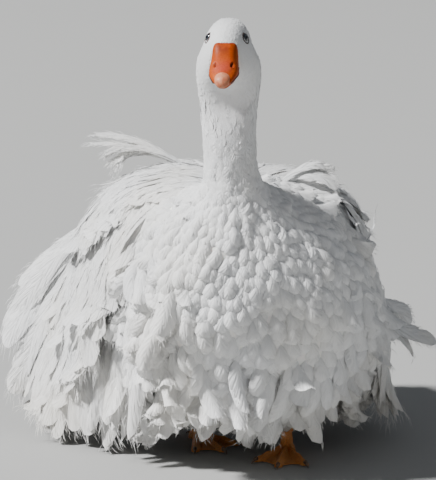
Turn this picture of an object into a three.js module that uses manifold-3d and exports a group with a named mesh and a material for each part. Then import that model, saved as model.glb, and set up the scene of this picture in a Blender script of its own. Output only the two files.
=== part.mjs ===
// A domestic goose of the curly-feathered Sebastopol breed, life size, standing still.
// Millimetres, +Z up. The goose faces -Y, so its own right side is -X.
// Body, neck and head are one loft along the spine, parted by thin plane gaps.
import * as THREE from 'three';
import { mergeVertices } from 'three/addons/utils/BufferGeometryUtils.js';
import Module from 'manifold-3d';

const wasm = await Module();
wasm.setup();

// ---------------------------------------------------------------- driving dimensions
const GAP = 0.3; // clear space between neighbouring nodes
const CLEARANCE = 0.7; // how far a cutter is grown beyond the piece it stands for
const ORIGIN_SHIFT = [5, -20, 0]; // brings the middle of the outline over the origin

const NECK_AXIS = { x: -62, y: -142 }; // upright line about which the head is turned
const HEAD_TURN = -20; // degrees about +Z: the bill points a little to the goose's right
const BODY_SIDES = 26; // facets round the body
const BODY_ROUNDNESS = 2.25; // superellipse exponent of the body's sections
const PINCH_LEVELS = [0.05, 0.55]; // where the pinch of a section begins and is whole
const RINGS_PER_STATION = 2;
const LOBES_ROUND = 8; // tufts of curled feathers round one section
const LOBES_PER_STATION = 0.5; // waves of tufts from one station to the next

const EYE_RADIUS = 6.2;
const EYE = { side: 17.4, y: -176.5, z: 513 };

const BILL_SIDES = 14;
const NAIL = { y: -243, z: 475.5, halfWidth: 10.5, halfLength: 13.5, halfHeight: 11.5 };

const CURTAIN_SIDES = 14; // corners of one upright cut through a layer of plumes

const LEG_SIDES = 8;
const TOE_SIDES = 6;
const FOOT = { toeRadius: 5.6, webFloor: 0.8, webThickness: 2.4, ankleTop: 18, ankleRadius: 8 };
const ANKLE_SHARES = [[-1, 1.15], [6, 1.15], [12, 0.95]]; // height and share of the ankle radius
const TOE_GIRTHS = [1.1, 0.95, 0.9, 0.85, 0.55]; // shares of the toe radius, heel to tip
const TOE_FLATNESS = 0.72; // how high a toe's middle lies, as a share of its radius
const CLAW_GIRTHS = [0.46, 0.1];
const CLAW_LEVELS = [0.62, 0.26]; // heights of the claw's root and point, in toe radii
const WEB_REACH = 0.94; // where the web meets a toe, as a share of the toe
const WEB_HOLLOW = 0.8; // how far the hollow front edge reaches between two toes
const TOES = [
  { name: 'inner', length: 66, angle: -27 },
  { name: 'middle', length: 82, angle: 0 },
  { name: 'outer', length: 75, angle: 25 },
];
const HALLUX = { length: 18, angle: 172, radius: 3.4, lift: 0 };
const CLAW_LENGTH = 9;
const SHANK = { top: 28, radius: 6.8 };
const THIGH = { top: 112, lowRadius: 12.5, highRadius: 24, lean: 14 };
const LEGS = {
  left: { x: 37, y: -44, heading: -24 },
  right: { x: -48, y: 50, heading: 8 },
};

const COLOURS = {
  white: 0xe9ebec,
  plume: 0xf1f2f0,
  orange: 0xd98242,
  nail: 0xdcb6a0,
  foot: 0xd3752c,
  eye: 0x2b3340,
};

// One row for each named place on the spine, seen from the side before the head is turned.
// The back line runs through `top`, the belly or throat line through `bottom`; `wide` is
// the level of the widest point as a share of the height, `lobe` the height of the tufts
// and `pinch` how much narrower the skull is than the cheeks below it.
const BODY = [
  { name: 'face', x: -62, top: [-203, 511], bottom: [-188, 472], half: 20, wide: 0.34, lobe: 0, pinch: 0 },
  { name: 'lores', x: -62, top: [-191, 523], bottom: [-181, 463], half: 24.5, wide: 0.38, lobe: 0, pinch: 0.04 },
  { name: 'brow', x: -62, top: [-172, 531], bottom: [-171, 453], half: 30, wide: 0.4, lobe: 0, pinch: 0.08 },
  { name: 'crown', x: -62, top: [-150, 533], bottom: [-166, 442], half: 35, wide: 0.42, lobe: 0, pinch: 0.19 },
  { name: 'occiput', x: -62, top: [-124, 527], bottom: [-164, 431], half: 36.5, wide: 0.42, lobe: 0, pinch: 0.22 },
  { name: 'nape', x: -62, top: [-106, 501], bottom: [-166, 420], half: 35, wide: 0.46, lobe: 0, pinch: 0.2 },
  { name: 'throat', x: -62, top: [-103, 468], bottom: [-169, 408], half: 32.5, wide: 0.5, lobe: 0.3, pinch: 0.06 },
  { name: 'upper_neck', x: -62, top: [-107, 430], bottom: [-172, 392], half: 31, wide: 0.5, lobe: 0.6, pinch: 0 },
  { name: 'middle_neck', x: -61, top: [-109, 398], bottom: [-174, 374], half: 30.5, wide: 0.5, lobe: 0.8, pinch: 0 },
  { name: 'lower_neck', x: -59, top: [-107, 370], bottom: [-176, 350], half: 32, wide: 0.5, lobe: 1, pinch: 0 },
  { name: 'neck_base', x: -53, top: [-96, 347], bottom: [-182, 320], half: 42, wide: 0.5, lobe: 1.5, pinch: 0 },
  { name: 'collar', x: -44, top: [-74, 338], bottom: [-194, 284], half: 72, wide: 0.5, lobe: 2.5, pinch: 0 },
  { name: 'shoulder', x: -34, top: [-50, 335], bottom: [-207, 240], half: 106, wide: 0.5, lobe: 3.5, pinch: 0 },
  { name: 'high_breast', x: -26, top: [-26, 334], bottom: [-214, 190], half: 131, wide: 0.5, lobe: 4, pinch: 0 },
  { name: 'breast', x: -19, top: [0, 330], bottom: [-206, 140], half: 146, wide: 0.5, lobe: 4, pinch: 0 },
  { name: 'low_breast', x: -13, top: [28, 326], bottom: [-176, 99], half: 152, wide: 0.5, lobe: 3.5, pinch: 0 },
  { name: 'belly', x: -8, top: [58, 323], bottom: [-118, 73], half: 153, wide: 0.48, lobe: 3, pinch: 0 },
  { name: 'mid_trunk', x: -4, top: [90, 317], bottom: [-44, 60], half: 150, wide: 0.47, lobe: 2.5, pinch: 0 },
  { name: 'flank', x: -2, top: [122, 307], bottom: [38, 57], half: 142, wide: 0.46, lobe: 2.5, pinch: 0 },
  { name: 'loin', x: 0, top: [152, 291], bottom: [110, 68], half: 124, wide: 0.46, lobe: 2.5, pinch: 0 },
  { name: 'rump', x: 0, top: [178, 272], bottom: [162, 100], half: 95, wide: 0.5, lobe: 2.5, pinch: 0 },
  { name: 'vent', x: 0, top: [197, 262], bottom: [194, 148], half: 62, wide: 0.52, lobe: 2, pinch: 0 },
  { name: 'tail_base', x: 0, top: [207, 243], bottom: [208, 186], half: 36, wide: 0.5, lobe: 0, pinch: 0 },
];

const BODY_NODES = [
  { name: 'head', from: 'face', to: 'throat' },
  { name: 'neck_upper', from: 'throat', to: 'middle_neck' },
  { name: 'neck_lower', from: 'middle_neck', to: 'collar' },
  { name: 'breast', from: 'collar', to: 'belly' },
  { name: 'trunk', from: 'belly', to: 'loin' },
  { name: 'rump', from: 'loin', to: 'tail_base' },
];

// Layers of plumage that hang from the back, in upright cuts across the body. Each outline
// leaves the body at `top`, swings out by way of `bulge` and ends at the lower edge `hem`.
const WING = [
  { y: -84, top: [96, 304], bulge: [116, 298], hem: [128, 276], depth: 5 },
  { y: -56, top: [84, 315], bulge: [156, 308], hem: [156, 210], depth: 16 },
  { y: -10, top: [66, 318], bulge: [178, 314], hem: [176, 130], depth: 24 },
  { y: 40, top: [52, 319], bulge: [190, 310], hem: [186, 76], depth: 30 },
  { y: 90, top: [42, 313], bulge: [198, 300], hem: [196, 48], depth: 34 },
  { y: 134, top: [34, 301], bulge: [190, 287], hem: [200, 52], depth: 30 },
  { y: 172, top: [30, 281], bulge: [168, 262], hem: [176, 90], depth: 22 },
  { y: 200, top: [40, 252], bulge: [118, 242], hem: [132, 150], depth: 12 },
  { y: 218, top: [62, 230], bulge: [86, 222], hem: [96, 176], depth: 6 },
];
const WINGS = {
  left: { side: 1, spread: 0.88, lift: -14, drop: 0, wave: 0 },
  right: { side: -1, spread: 1.12, lift: 12, drop: 22, wave: 0 },
};

// The mantle: scapular plumes that leave the midline and fall over the wings.
const MANTLE = [
  { y: -70, top: [2, 320], bulge: [70, 322], hem: [100, 310], depth: 6 },
  { y: -40, top: [2, 330], bulge: [104, 338], hem: [134, 296], depth: 8 },
  { y: 0, top: [2, 334], bulge: [130, 345], hem: [160, 264], depth: 10 },
  { y: 45, top: [2, 333], bulge: [140, 344], hem: [172, 238], depth: 10 },
  { y: 90, top: [2, 328], bulge: [144, 337], hem: [174, 220], depth: 10 },
  { y: 132, top: [2, 316], bulge: [130, 323], hem: [152, 212], depth: 10 },
  { y: 168, top: [2, 296], bulge: [92, 298], hem: [112, 222], depth: 8 },
  { y: 192, top: [2, 278], bulge: [40, 276], hem: [58, 246], depth: 6 },
];
const MANTLES = {
  left: { side: 1, spread: 0.92, lift: -6, drop: 0, wave: 9 },
  right: { side: -1, spread: 1.13, lift: 20, drop: 0, wave: 11 },
};

// The flank: belly feathers that hang beside the legs.
const FLANK = [
  { y: -112, top: [104, 104], bulge: [116, 92], hem: [104, 76], depth: 6 },
  { y: -84, top: [120, 112], bulge: [140, 84], hem: [114, 46], depth: 16 },
  { y: -44, top: [130, 116], bulge: [156, 80], hem: [120, 30], depth: 22 },
  { y: 0, top: [134, 118], bulge: [164, 78], hem: [128, 24], depth: 26 },
  { y: 44, top: [132, 118], bulge: [166, 78], hem: [134, 24], depth: 28 },
  { y: 84, top: [124, 120], bulge: [158, 84], hem: [130, 34], depth: 24 },
  { y: 116, top: [108, 122], bulge: [132, 96], hem: [112, 64], depth: 12 },
];
const FLANKS = {
  left: { side: 1, spread: 0.94, lift: 0, drop: 0, wave: 5 },
  right: { side: -1, spread: 1.02, lift: 0, drop: 8, wave: 5 },
};

// Hanging plumes: where each leaves the wing, where it bends, where it ends, and its width.
const RIGHT_PLUMES = [
  { root: [168, -20, 230], bend: [192, -8, 140], tip: [180, -4, 52], width: 38 },
  { root: [176, 20, 200], bend: [212, 38, 110], tip: [198, 44, 28], width: 40 },
  { root: [180, 56, 190], bend: [218, 80, 96], tip: [207, 88, 20], width: 40 },
  { root: [180, 84, 200], bend: [226, 118, 100], tip: [228, 126, 26], width: 40 },
  { root: [176, 104, 220], bend: [224, 146, 140], tip: [235, 158, 50], width: 40 },
  { root: [166, 114, 244], bend: [220, 164, 180], tip: [252, 178, 108], width: 38 },
  { root: [150, 120, 262], bend: [192, 172, 224], tip: [219, 204, 160], width: 36 },
  { root: [116, 140, 250], bend: [152, 206, 200], tip: [176, 238, 118], width: 38 },
];
const LEFT_PLUMES = [
  { root: [136, -34, 224], bend: [162, -26, 150], tip: [154, -20, 84], width: 36 },
  { root: [142, 0, 200], bend: [172, 14, 120], tip: [164, 20, 56], width: 38 },
  { root: [146, 36, 190], bend: [178, 54, 106], tip: [170, 64, 40], width: 40 },
  { root: [146, 70, 200], bend: [184, 100, 110], tip: [180, 112, 36], width: 40 },
  { root: [142, 98, 212], bend: [186, 138, 146], tip: [194, 156, 66], width: 40 },
  { root: [128, 118, 240], bend: [170, 172, 196], tip: [196, 200, 126], width: 38 },
  { root: [96, 144, 242], bend: [132, 204, 190], tip: [152, 236, 112], width: 38 },
  { root: [140, -20, 172], bend: [180, -24, 170], tip: [202, -4, 144], width: 24 },
  { root: [142, 16, 146], bend: [200, 18, 136], tip: [242, 46, 96], width: 26 },
];
const PLUME_FACING = [1, -0.7, 0.35]; // the flat of a hanging plume looks outward and forward
const PLUME_THICKNESS = 7;

const RAISED_FEATHERS = [
  { root: [-60, 64, 330], bend: [-108, 84, 368], tip: [-152, 98, 346], width: 24 },
  { root: [30, -44, 326], bend: [66, -56, 350], tip: [96, -48, 328], width: 28 },
];

// Tail feathers fan out from the tail base.
const TAIL = { feathers: 6, spread: 84, length: 86, width: 40, thickness: 5, root: [0, 202, 218], drop: 22 };
const TAIL_SHORTENING = 0.35; // how much shorter the outermost feathers are, times two
const TAIL_ROOT = { aside: 18, inside: 26 }; // spread of the roots, and how deep they sit
const TAIL_ARCH = { bend: 12, side: 14, tip: 10 }; // rise of the middle, fall of the sides

// ---------------------------------------------------------------- small helpers
const radians = THREE.MathUtils.degToRad;
const mix = THREE.MathUtils.lerp;
const vector = (list) => new THREE.Vector3(...list);

// Catmull-Rom curve through a list of numbers, one to each whole step of `position`.
function along(values, position) {
  const last = values.length - 1;
  const start = Math.min(Math.floor(position), last - 1);
  const t = position - start;
  const p1 = values[start];
  const p2 = values[start + 1];
  const p0 = start > 0 ? values[start - 1] : 2 * p1 - p2;
  const p3 = start + 2 <= last ? values[start + 2] : 2 * p2 - p1;
  const slope1 = (p2 - p0) / 2;
  const slope2 = (p3 - p1) / 2;
  const bend = 2 * (p1 - p2) + slope1 + slope2;
  return p1 + t * (slope1 + t * (3 * (p2 - p1) - 2 * slope1 - slope2 + t * bend));
}

function bezier(start, control, end, t) {
  const s = 1 - t;
  return s * s * start + 2 * s * t * control + t * t * end;
}

function bezierPoint(start, control, end, t) {
  const parts = start.map((value, axis) => bezier(value, control[axis], end[axis], t));
  return vector(parts);
}

// A signed power keeps the sign of its base: it draws superellipses.
function signedPower(value, power) {
  return Math.sign(value) * Math.abs(value) ** power;
}

function turnAboutNeck(point, degrees) {
  const axis = new THREE.Vector3(NECK_AXIS.x, NECK_AXIS.y, 0);
  return point.sub(axis).applyAxisAngle(new THREE.Vector3(0, 0, 1), radians(degrees)).add(axis);
}

// Closed mesh from rings of equal count: quads between the rings and a fan on each end.
function loft(rings) {
  const sides = rings[0].length;
  const corners = rings.flat();
  const index = [];
  for (let ring = 0; ring < rings.length - 1; ring += 1) {
    for (let side = 0; side < sides; side += 1) {
      const a = ring * sides + side;
      const b = ring * sides + ((side + 1) % sides);
      index.push(a, b, b + sides, a, b + sides, a + sides);
    }
  }
  addCap(corners, index, 0, sides, true);
  addCap(corners, index, (rings.length - 1) * sides, sides, false);
  return outwardGeometry(corners, index);
}

function addCap(corners, index, first, sides, reversed) {
  const centre = new THREE.Vector3();
  for (let side = 0; side < sides; side += 1) {
    centre.addScaledVector(corners[first + side], 1 / sides);
  }
  const hub = corners.length;
  corners.push(centre);
  for (let side = 0; side < sides; side += 1) {
    const a = first + side;
    const b = first + ((side + 1) % sides);
    index.push(...(reversed ? [hub, b, a] : [hub, a, b]));
  }
}

// Turns the faces round where the enclosed volume comes out negative.
function outwardGeometry(corners, index) {
  let volume = 0;
  for (let face = 0; face < index.length; face += 3) {
    const [a, b, c] = [corners[index[face]], corners[index[face + 1]], corners[index[face + 2]]];
    volume += a.dot(b.clone().cross(c));
  }
  const ordered = volume < 0 ? index.slice().reverse() : index;
  const geometry = new THREE.BufferGeometry();
  geometry.setAttribute('position', new THREE.Float32BufferAttribute(corners.flatMap((p) => p.toArray()), 3));
  geometry.setIndex(ordered);
  return geometry;
}

function toSolid(source) {
  const bare = source.clone();
  bare.deleteAttribute('normal');
  bare.deleteAttribute('uv');
  const merged = mergeVertices(bare, 1e-4);
  const vertProperties = new Float32Array(merged.attributes.position.array);
  const triVerts = new Uint32Array(merged.index.array);
  return new wasm.Manifold(new wasm.Mesh({ numProp: 3, vertProperties, triVerts }));
}

function toGeometry(solid) {
  const mesh = solid.getMesh();
  const geometry = new THREE.BufferGeometry();
  geometry.setAttribute('position', new THREE.Float32BufferAttribute(mesh.vertProperties, 3));
  geometry.setIndex(new THREE.Uint32BufferAttribute(mesh.triVerts, 1));
  return geometry;
}

function joined(solids) {
  return solids.reduce((whole, piece) => whole.add(piece));
}

// Cutting can leave crumbs: only the largest body is kept.
function largestBody(solid) {
  const bodies = solid.decompose();
  return bodies.reduce((best, body) => (body.volume() > best.volume() ? body : best));
}

// ---------------------------------------------------------------- sections in the side view
// A section's plane holds the line from `bottom` to `top` and the side-to-side direction.
function sectionRing(section, sides, turn, grow, push) {
  const height = Math.hypot(section.topY - section.bottomY, section.topZ - section.bottomZ);
  const up = new THREE.Vector3(0, section.topY - section.bottomY, section.topZ - section.bottomZ);
  up.normalize();
  const travel = new THREE.Vector3(0, up.z, -up.y);
  const centre = new THREE.Vector3(section.x, section.bottomY, section.bottomZ);
  centre.addScaledVector(up, height * section.wide).addScaledVector(travel, push);
  const ring = [];
  for (let side = 0; side < sides; side += 1) {
    const angle = (2 * Math.PI * side) / sides;
    const reach = Math.sin(angle) > 0 ? height * (1 - section.wide) : height * section.wide;
    const climb = signedPower(Math.sin(angle), 2 / section.round);
    const narrowing = 1 - section.pinch * THREE.MathUtils.smoothstep(climb, ...PINCH_LEVELS);
    const across = section.half * narrowing * signedPower(Math.cos(angle), 2 / section.round);
    const rise = reach * climb;
    const stretch = 1 + (grow + section.lobe(angle)) / Math.hypot(across, rise);
    const point = centre.clone().addScaledVector(up, rise * stretch);
    point.x += across * stretch;
    ring.push(turnAboutNeck(point, turn));
  }
  return ring;
}

const stationIndex = (name) => BODY.findIndex((station) => station.name === name);
const THROAT = stationIndex('throat');
const LOWER_NECK = stationIndex('lower_neck');

// The head is turned as a whole, and the turn fades out down the neck.
function bodyTurn(position) {
  const fade = THREE.MathUtils.smoothstep(position, THROAT - 1, LOWER_NECK);
  return HEAD_TURN * (1 - fade);
}

function bodyRing(position, grow = 0, push = 0) {
  const at = (pick) => along(BODY.map(pick), position);
  const lobeHeight = at((station) => station.lobe);
  const wave = Math.cos(2 * Math.PI * LOBES_PER_STATION * position);
  const section = {
    x: at((station) => station.x),
    topY: at((station) => station.top[0]),
    topZ: at((station) => station.top[1]),
    bottomY: at((station) => station.bottom[0]),
    bottomZ: at((station) => station.bottom[1]),
    half: at((station) => station.half),
    wide: at((station) => station.wide),
    round: BODY_ROUNDNESS,
    pinch: at((station) => station.pinch),
    lobe: (angle) => lobeHeight * wave * Math.cos(LOBES_ROUND * angle),
  };
  return sectionRing(section, BODY_SIDES, bodyTurn(position), grow, push);
}

// Rings from one station to another; the end rings are pushed back by half a gap.
function bodyLoft(from, to, grow = 0, endPush = -GAP / 2) {
  const steps = (to - from) * RINGS_PER_STATION;
  const rings = [];
  for (let step = 0; step <= steps; step += 1) {
    const isStart = step === 0;
    const isEnd = step === steps;
    const push = (isStart ? -endPush : 0) + (isEnd ? endPush : 0);
    rings.push(bodyRing(from + step / RINGS_PER_STATION, grow, push));
  }
  return loft(rings);
}

const wholeBodyGrown = toSolid(bodyLoft(0, BODY.length - 1, CLEARANCE, CLEARANCE));

// ---------------------------------------------------------------- head, eyes and bill
function eyeCentre(side) {
  const point = new THREE.Vector3(NECK_AXIS.x + side * EYE.side, EYE.y, EYE.z);
  return turnAboutNeck(point, HEAD_TURN);
}

function eyeBall(side, radius) {
  const ball = new THREE.SphereGeometry(radius, 12, 8);
  return ball.translate(...eyeCentre(side).toArray());
}

function headWithSockets() {
  const head = toSolid(bodyLoft(stationIndex('face'), stationIndex('throat')));
  const sockets = [-1, 1].map((side) => toSolid(eyeBall(side, EYE_RADIUS + GAP)));
  return toGeometry(head.subtract(sockets[0]).subtract(sockets[1]));
}

const BILL_UPPER = [
  { top: [-203, 510], bottom: [-191, 480], half: 15.8, wide: 0.3, round: 3.4 },
  { top: [-213, 500.5], bottom: [-203, 478], half: 16.3, wide: 0.3, round: 2.9 },
  { top: [-225, 491.5], bottom: [-219, 476.5], half: 15.8, wide: 0.3, round: 2.5 },
  { top: [-236, 484], bottom: [-233, 473.5], half: 14.6, wide: 0.32, round: 2.3 },
  { top: [-244, 478.5], bottom: [-242.5, 469.5], half: 11, wide: 0.38, round: 2.2 },
  { top: [-248, 474], bottom: [-247.5, 468], half: 5, wide: 0.45, round: 2 },
];
const BILL_LOWER = [
  { top: [-190, 481], bottom: [-188.5, 474], half: 14.5, wide: 0.6, round: 2.4 },
  { top: [-203, 479], bottom: [-201, 467.5], half: 13, wide: 0.6, round: 2.4 },
  { top: [-221, 476], bottom: [-219, 466], half: 11.4, wide: 0.6, round: 2.4 },
  { top: [-238, 472.8], bottom: [-236, 464.5], half: 7, wide: 0.6, round: 2.2 },
];

function billLoft(stations, grow = 0) {
  const steps = stations.length - 1;
  const rings = [];
  for (let step = 0; step <= steps; step += 1) {
    const at = (pick) => along(stations.map(pick), step);
    const section = {
      x: NECK_AXIS.x,
      topY: at((station) => station.top[0]),
      topZ: at((station) => station.top[1]),
      bottomY: at((station) => station.bottom[0]),
      bottomZ: at((station) => station.bottom[1]),
      half: at((station) => station.half),
      wide: at((station) => station.wide),
      round: at((station) => station.round),
      pinch: 0,
      lobe: () => 0,
    };
    rings.push(sectionRing(section, BILL_SIDES, HEAD_TURN, grow, 0));
  }
  return toSolid(loft(rings));
}

function nailBlob(grow) {
  const blob = new THREE.SphereGeometry(1, 12, 8);
  blob.scale(NAIL.halfWidth + grow, NAIL.halfLength + grow, NAIL.halfHeight + grow);
  const centre = turnAboutNeck(new THREE.Vector3(NECK_AXIS.x, NAIL.y, NAIL.z), HEAD_TURN);
  blob.rotateZ(radians(HEAD_TURN));
  return toSolid(blob.translate(...centre.toArray()));
}

function billPieces() {
  const upper = billLoft(BILL_UPPER).subtract(wholeBodyGrown);
  const nail = upper.intersect(nailBlob(0));
  const lower = billLoft(BILL_LOWER).subtract(billLoft(BILL_UPPER, GAP)).subtract(wholeBodyGrown);
  return {
    bill_upper: toGeometry(largestBody(upper.subtract(nailBlob(GAP)))),
    bill_nail: toGeometry(largestBody(nail)),
    bill_lower: toGeometry(largestBody(lower)),
  };
}

// ---------------------------------------------------------------- feathers as tapered blades
// A blade is a lens-shaped section carried along a curve from root to tip. Its flat
// looks along `facing`.
const BLADE_PROFILE = [0.6, 0.96, 1, 0.74, 0.14];
const BLADE_CORNERS = 4;

function blade({ root, bend, tip, width }, thickness, facing, grow = 0) {
  const steps = BLADE_PROFILE.length - 1;
  const across = vector(tip).sub(vector(root)).cross(vector(facing)).normalize();
  const rings = BLADE_PROFILE.map((share, step) => {
    const t = step / steps;
    const centre = bezierPoint(root, bend, tip, t);
    const ahead = bezierPoint(root, bend, tip, Math.min(t + 0.01, 1));
    const behind = bezierPoint(root, bend, tip, Math.max(t - 0.01, 0));
    const heading = ahead.sub(behind).normalize();
    const normal = heading.clone().cross(across).normalize();
    if (step === 0) centre.addScaledVector(heading, -grow);
    if (step === steps) centre.addScaledVector(heading, grow);
    const ring = [];
    for (let corner = 0; corner < BLADE_CORNERS; corner += 1) {
      const angle = (2 * Math.PI * corner) / BLADE_CORNERS;
      const sideways = Math.cos(angle) * (share * width / 2 + grow);
      const lift = Math.sin(angle) * (Math.sqrt(share) * thickness / 2 + grow);
      ring.push(centre.clone().addScaledVector(across, sideways).addScaledVector(normal, lift));
    }
    return ring;
  });
  return toSolid(loft(rings));
}

const mirrored = ([x, y, z], side) => [side * x, y, z];

function sideBlade({ root, bend, tip, width }, side, grow = 0) {
  const placed = { root: mirrored(root, side), bend: mirrored(bend, side), tip: mirrored(tip, side) };
  return blade({ ...placed, width }, PLUME_THICKNESS, mirrored(PLUME_FACING, side), grow);
}

// ---------------------------------------------------------------- wings
// One upright cut through a hanging layer: down the outer face, then back up the inner.
function curtainRing(cuts, position, { side, spread, lift, drop, wave }, grow) {
  const { y, top, ...cut } = cuts[position];
  const middle = Math.sin((Math.PI * position) / (cuts.length - 1));
  const lowered = drop * middle + wave * middle * Math.cos(Math.PI * position);
  const bulge = [cut.bulge[0] * spread, cut.bulge[1] + lift];
  const hem = [cut.hem[0] * spread, cut.hem[1] - lowered];
  const depth = cut.depth + grow;
  const half = CURTAIN_SIDES / 2;
  const ring = [];
  for (let step = 0; step < half; step += 1) {
    const t = step / (half - 1);
    const x = bezier(top[0], bulge[0], hem[0], t) + grow * Math.min(1, 4 * t - 1);
    const z = bezier(top[1], bulge[1], hem[1], t) + grow * Math.min(1, 3 - 4 * t);
    ring.push(new THREE.Vector3(side * x, y, z));
  }
  for (let step = 0; step < half; step += 1) {
    const t = 1 - step / (half - 1);
    const x = bezier(top[0] - grow, bulge[0] - depth, hem[0] - depth, t);
    const z = bezier(top[1] - depth, bulge[1] - depth, hem[1] + depth * 0.2, t) - grow * t;
    ring.push(new THREE.Vector3(side * x, y, z));
  }
  return ring;
}

function curtain(cuts, shape, grow = 0) {
  const rings = cuts.map((cut, position) => curtainRing(cuts, position, shape, grow));
  rings[0].forEach((point) => point.setY(point.y - grow));
  rings[cuts.length - 1].forEach((point) => point.setY(point.y + grow));
  return toSolid(loft(rings));
}

function wingSolid(shape, plumes, grow = 0) {
  const blades = plumes.map((plume) => sideBlade(plume, shape.side, grow));
  return joined([curtain(WING, shape, grow), ...blades]);
}

const wingsGrown = joined([
  wingSolid(WINGS.left, LEFT_PLUMES, CLEARANCE),
  wingSolid(WINGS.right, RIGHT_PLUMES, CLEARANCE),
]);

function wing(shape, plumes) {
  return toGeometry(largestBody(wingSolid(shape, plumes).subtract(wholeBodyGrown)));
}

function flank(shape) {
  return toGeometry(largestBody(curtain(FLANK, shape).subtract(wholeBodyGrown).subtract(wingsGrown)));
}

// ---------------------------------------------------------------- mantle and tail
// Both halves share one ring, so the mantle arches over the back as a single layer.
function mantleArch() {
  const rings = MANTLE.map((cut, position) => {
    const rightHalf = curtainRing(MANTLE, position, MANTLES.right, 0);
    const leftHalf = curtainRing(MANTLE, position, MANTLES.left, 0);
    return [...rightHalf, ...leftHalf.reverse()];
  });
  return toSolid(loft(rings));
}

function mantle() {
  const raised = RAISED_FEATHERS.map((feather) => blade(feather, PLUME_THICKNESS, [0, -1, 1]));
  const whole = joined([mantleArch(), ...raised]);
  return toGeometry(largestBody(whole.subtract(wholeBodyGrown).subtract(wingsGrown)));
}

function tailFeather(number) {
  const share = number / (TAIL.feathers - 1) - 0.5;
  const angle = radians(TAIL.spread * share);
  const [x, y, z] = TAIL.root;
  const reach = TAIL.length * (1 - TAIL_SHORTENING * Math.abs(share));
  const tipZ = z - TAIL.drop + TAIL_ARCH.tip * share * share;
  const bendZ = z + TAIL_ARCH.bend - TAIL_ARCH.side * share * share;
  const tip = [x + reach * Math.sin(angle), y + reach * Math.cos(angle), tipZ];
  const root = [x + TAIL_ROOT.aside * share, y - TAIL_ROOT.inside, z];
  const bend = [(root[0] + tip[0]) / 2, (root[1] + tip[1]) / 2, bendZ];
  return blade({ root, bend, tip, width: TAIL.width }, TAIL.thickness, [0, 0, 1]);
}

function tail() {
  const feathers = Array.from({ length: TAIL.feathers }, (_, number) => tailFeather(number));
  return toGeometry(largestBody(joined(feathers).subtract(wholeBodyGrown).subtract(wingsGrown)));
}

// ---------------------------------------------------------------- legs and feet
function roundRing(centre, direction, radius, sides = LEG_SIDES) {
  const forward = direction.clone().normalize();
  const side = new THREE.Vector3(0, 0, 1).cross(forward);
  if (side.length() < 0.1) side.set(1, 0, 0);
  side.normalize();
  const up = forward.clone().cross(side);
  const ring = [];
  for (let corner = 0; corner < sides; corner += 1) {
    const angle = (2 * Math.PI * corner) / sides;
    const point = centre.clone().addScaledVector(side, radius * Math.cos(angle));
    ring.push(point.addScaledVector(up, radius * Math.sin(angle)));
  }
  return ring;
}

function toe(length, angle, radius, lift) {
  const heading = new THREE.Vector3(Math.sin(radians(angle)), -Math.cos(radians(angle)), 0);
  const rings = TOE_GIRTHS.map((share, step) => {
    const centre = heading.clone().multiplyScalar((length * step) / (TOE_GIRTHS.length - 1));
    centre.z = radius * share * TOE_FLATNESS + lift;
    return roundRing(centre, heading, radius * share, TOE_SIDES);
  });
  const clawRings = CLAW_GIRTHS.map((share, step) => {
    const centre = heading.clone().multiplyScalar(length - 1 + CLAW_LENGTH * step);
    centre.z = radius * CLAW_LEVELS[step] + lift;
    return roundRing(centre, heading, radius * share, TOE_SIDES);
  });
  return toSolid(loft(rings)).add(toSolid(loft(clawRings)));
}

// The web spans two toes, with a hollow front edge.
function web(first, second) {
  const point = (length, angle) => {
    const a = radians(angle);
    return new THREE.Vector2(length * Math.sin(a), -length * Math.cos(a));
  };
  const start = point(first.length * WEB_REACH, first.angle);
  const end = point(second.length * WEB_REACH, second.angle);
  const shorter = Math.min(first.length, second.length);
  const hollow = point(WEB_HOLLOW * shorter, (first.angle + second.angle) / 2);
  const shape = new THREE.Shape();
  shape.moveTo(0, 0);
  shape.lineTo(start.x, start.y);
  shape.quadraticCurveTo(hollow.x, hollow.y, end.x, end.y);
  shape.closePath();
  const plate = { depth: FOOT.webThickness, bevelEnabled: false, curveSegments: 4 };
  const geometry = new THREE.ExtrudeGeometry(shape, plate).translate(0, 0, FOOT.webFloor);
  return toSolid(geometry);
}

function ankleKnob() {
  const up = new THREE.Vector3(0, 0, 1);
  const levels = [...ANKLE_SHARES, [FOOT.ankleTop, SHANK.radius / FOOT.ankleRadius]];
  const rings = levels.map(([z, share]) => roundRing(new THREE.Vector3(0, 0, z), up, FOOT.ankleRadius * share));
  return toSolid(loft(rings));
}

// Everything below the floor is cut away, so the pads end in flats at one level.
function foot(leg) {
  const floorCutter = toSolid(new THREE.BoxGeometry(400, 400, 40).translate(0, 0, -20));
  const spread = TOES.map(({ length, angle }) => ({ length, angle: angle * Math.sign(leg.x) }));
  const toes = spread.map(({ length, angle }) => toe(length, angle, FOOT.toeRadius, 0));
  const hallux = toe(HALLUX.length, HALLUX.angle, HALLUX.radius, HALLUX.lift);
  const webs = [web(spread[0], spread[1]), web(spread[1], spread[2])];
  const pieces = joined([ankleKnob(), ...toes, hallux, ...webs]).subtract(floorCutter);
  const geometry = toGeometry(largestBody(pieces));
  return geometry.rotateZ(radians(leg.heading)).translate(leg.x, leg.y, 0);
}

function shank(leg) {
  const up = new THREE.Vector3(0, 0, 1);
  const bottom = FOOT.ankleTop + GAP;
  const levels = [bottom, mix(bottom, SHANK.top, 0.5), SHANK.top];
  const rings = levels.map((z) => roundRing(new THREE.Vector3(leg.x, leg.y, z), up, SHANK.radius));
  return loft(rings);
}

function thigh(leg) {
  const up = new THREE.Vector3(0, 0, 1);
  const bottom = SHANK.top + GAP;
  const rings = [0, 0.25, 0.5, 0.75, 1].map((t) => {
    const centre = new THREE.Vector3(leg.x, leg.y + THIGH.lean * t, mix(bottom, THIGH.top, t));
    return roundRing(centre, up, mix(THIGH.lowRadius, THIGH.highRadius, Math.sqrt(t)));
  });
  return toGeometry(largestBody(toSolid(loft(rings)).subtract(wholeBodyGrown)));
}

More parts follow.
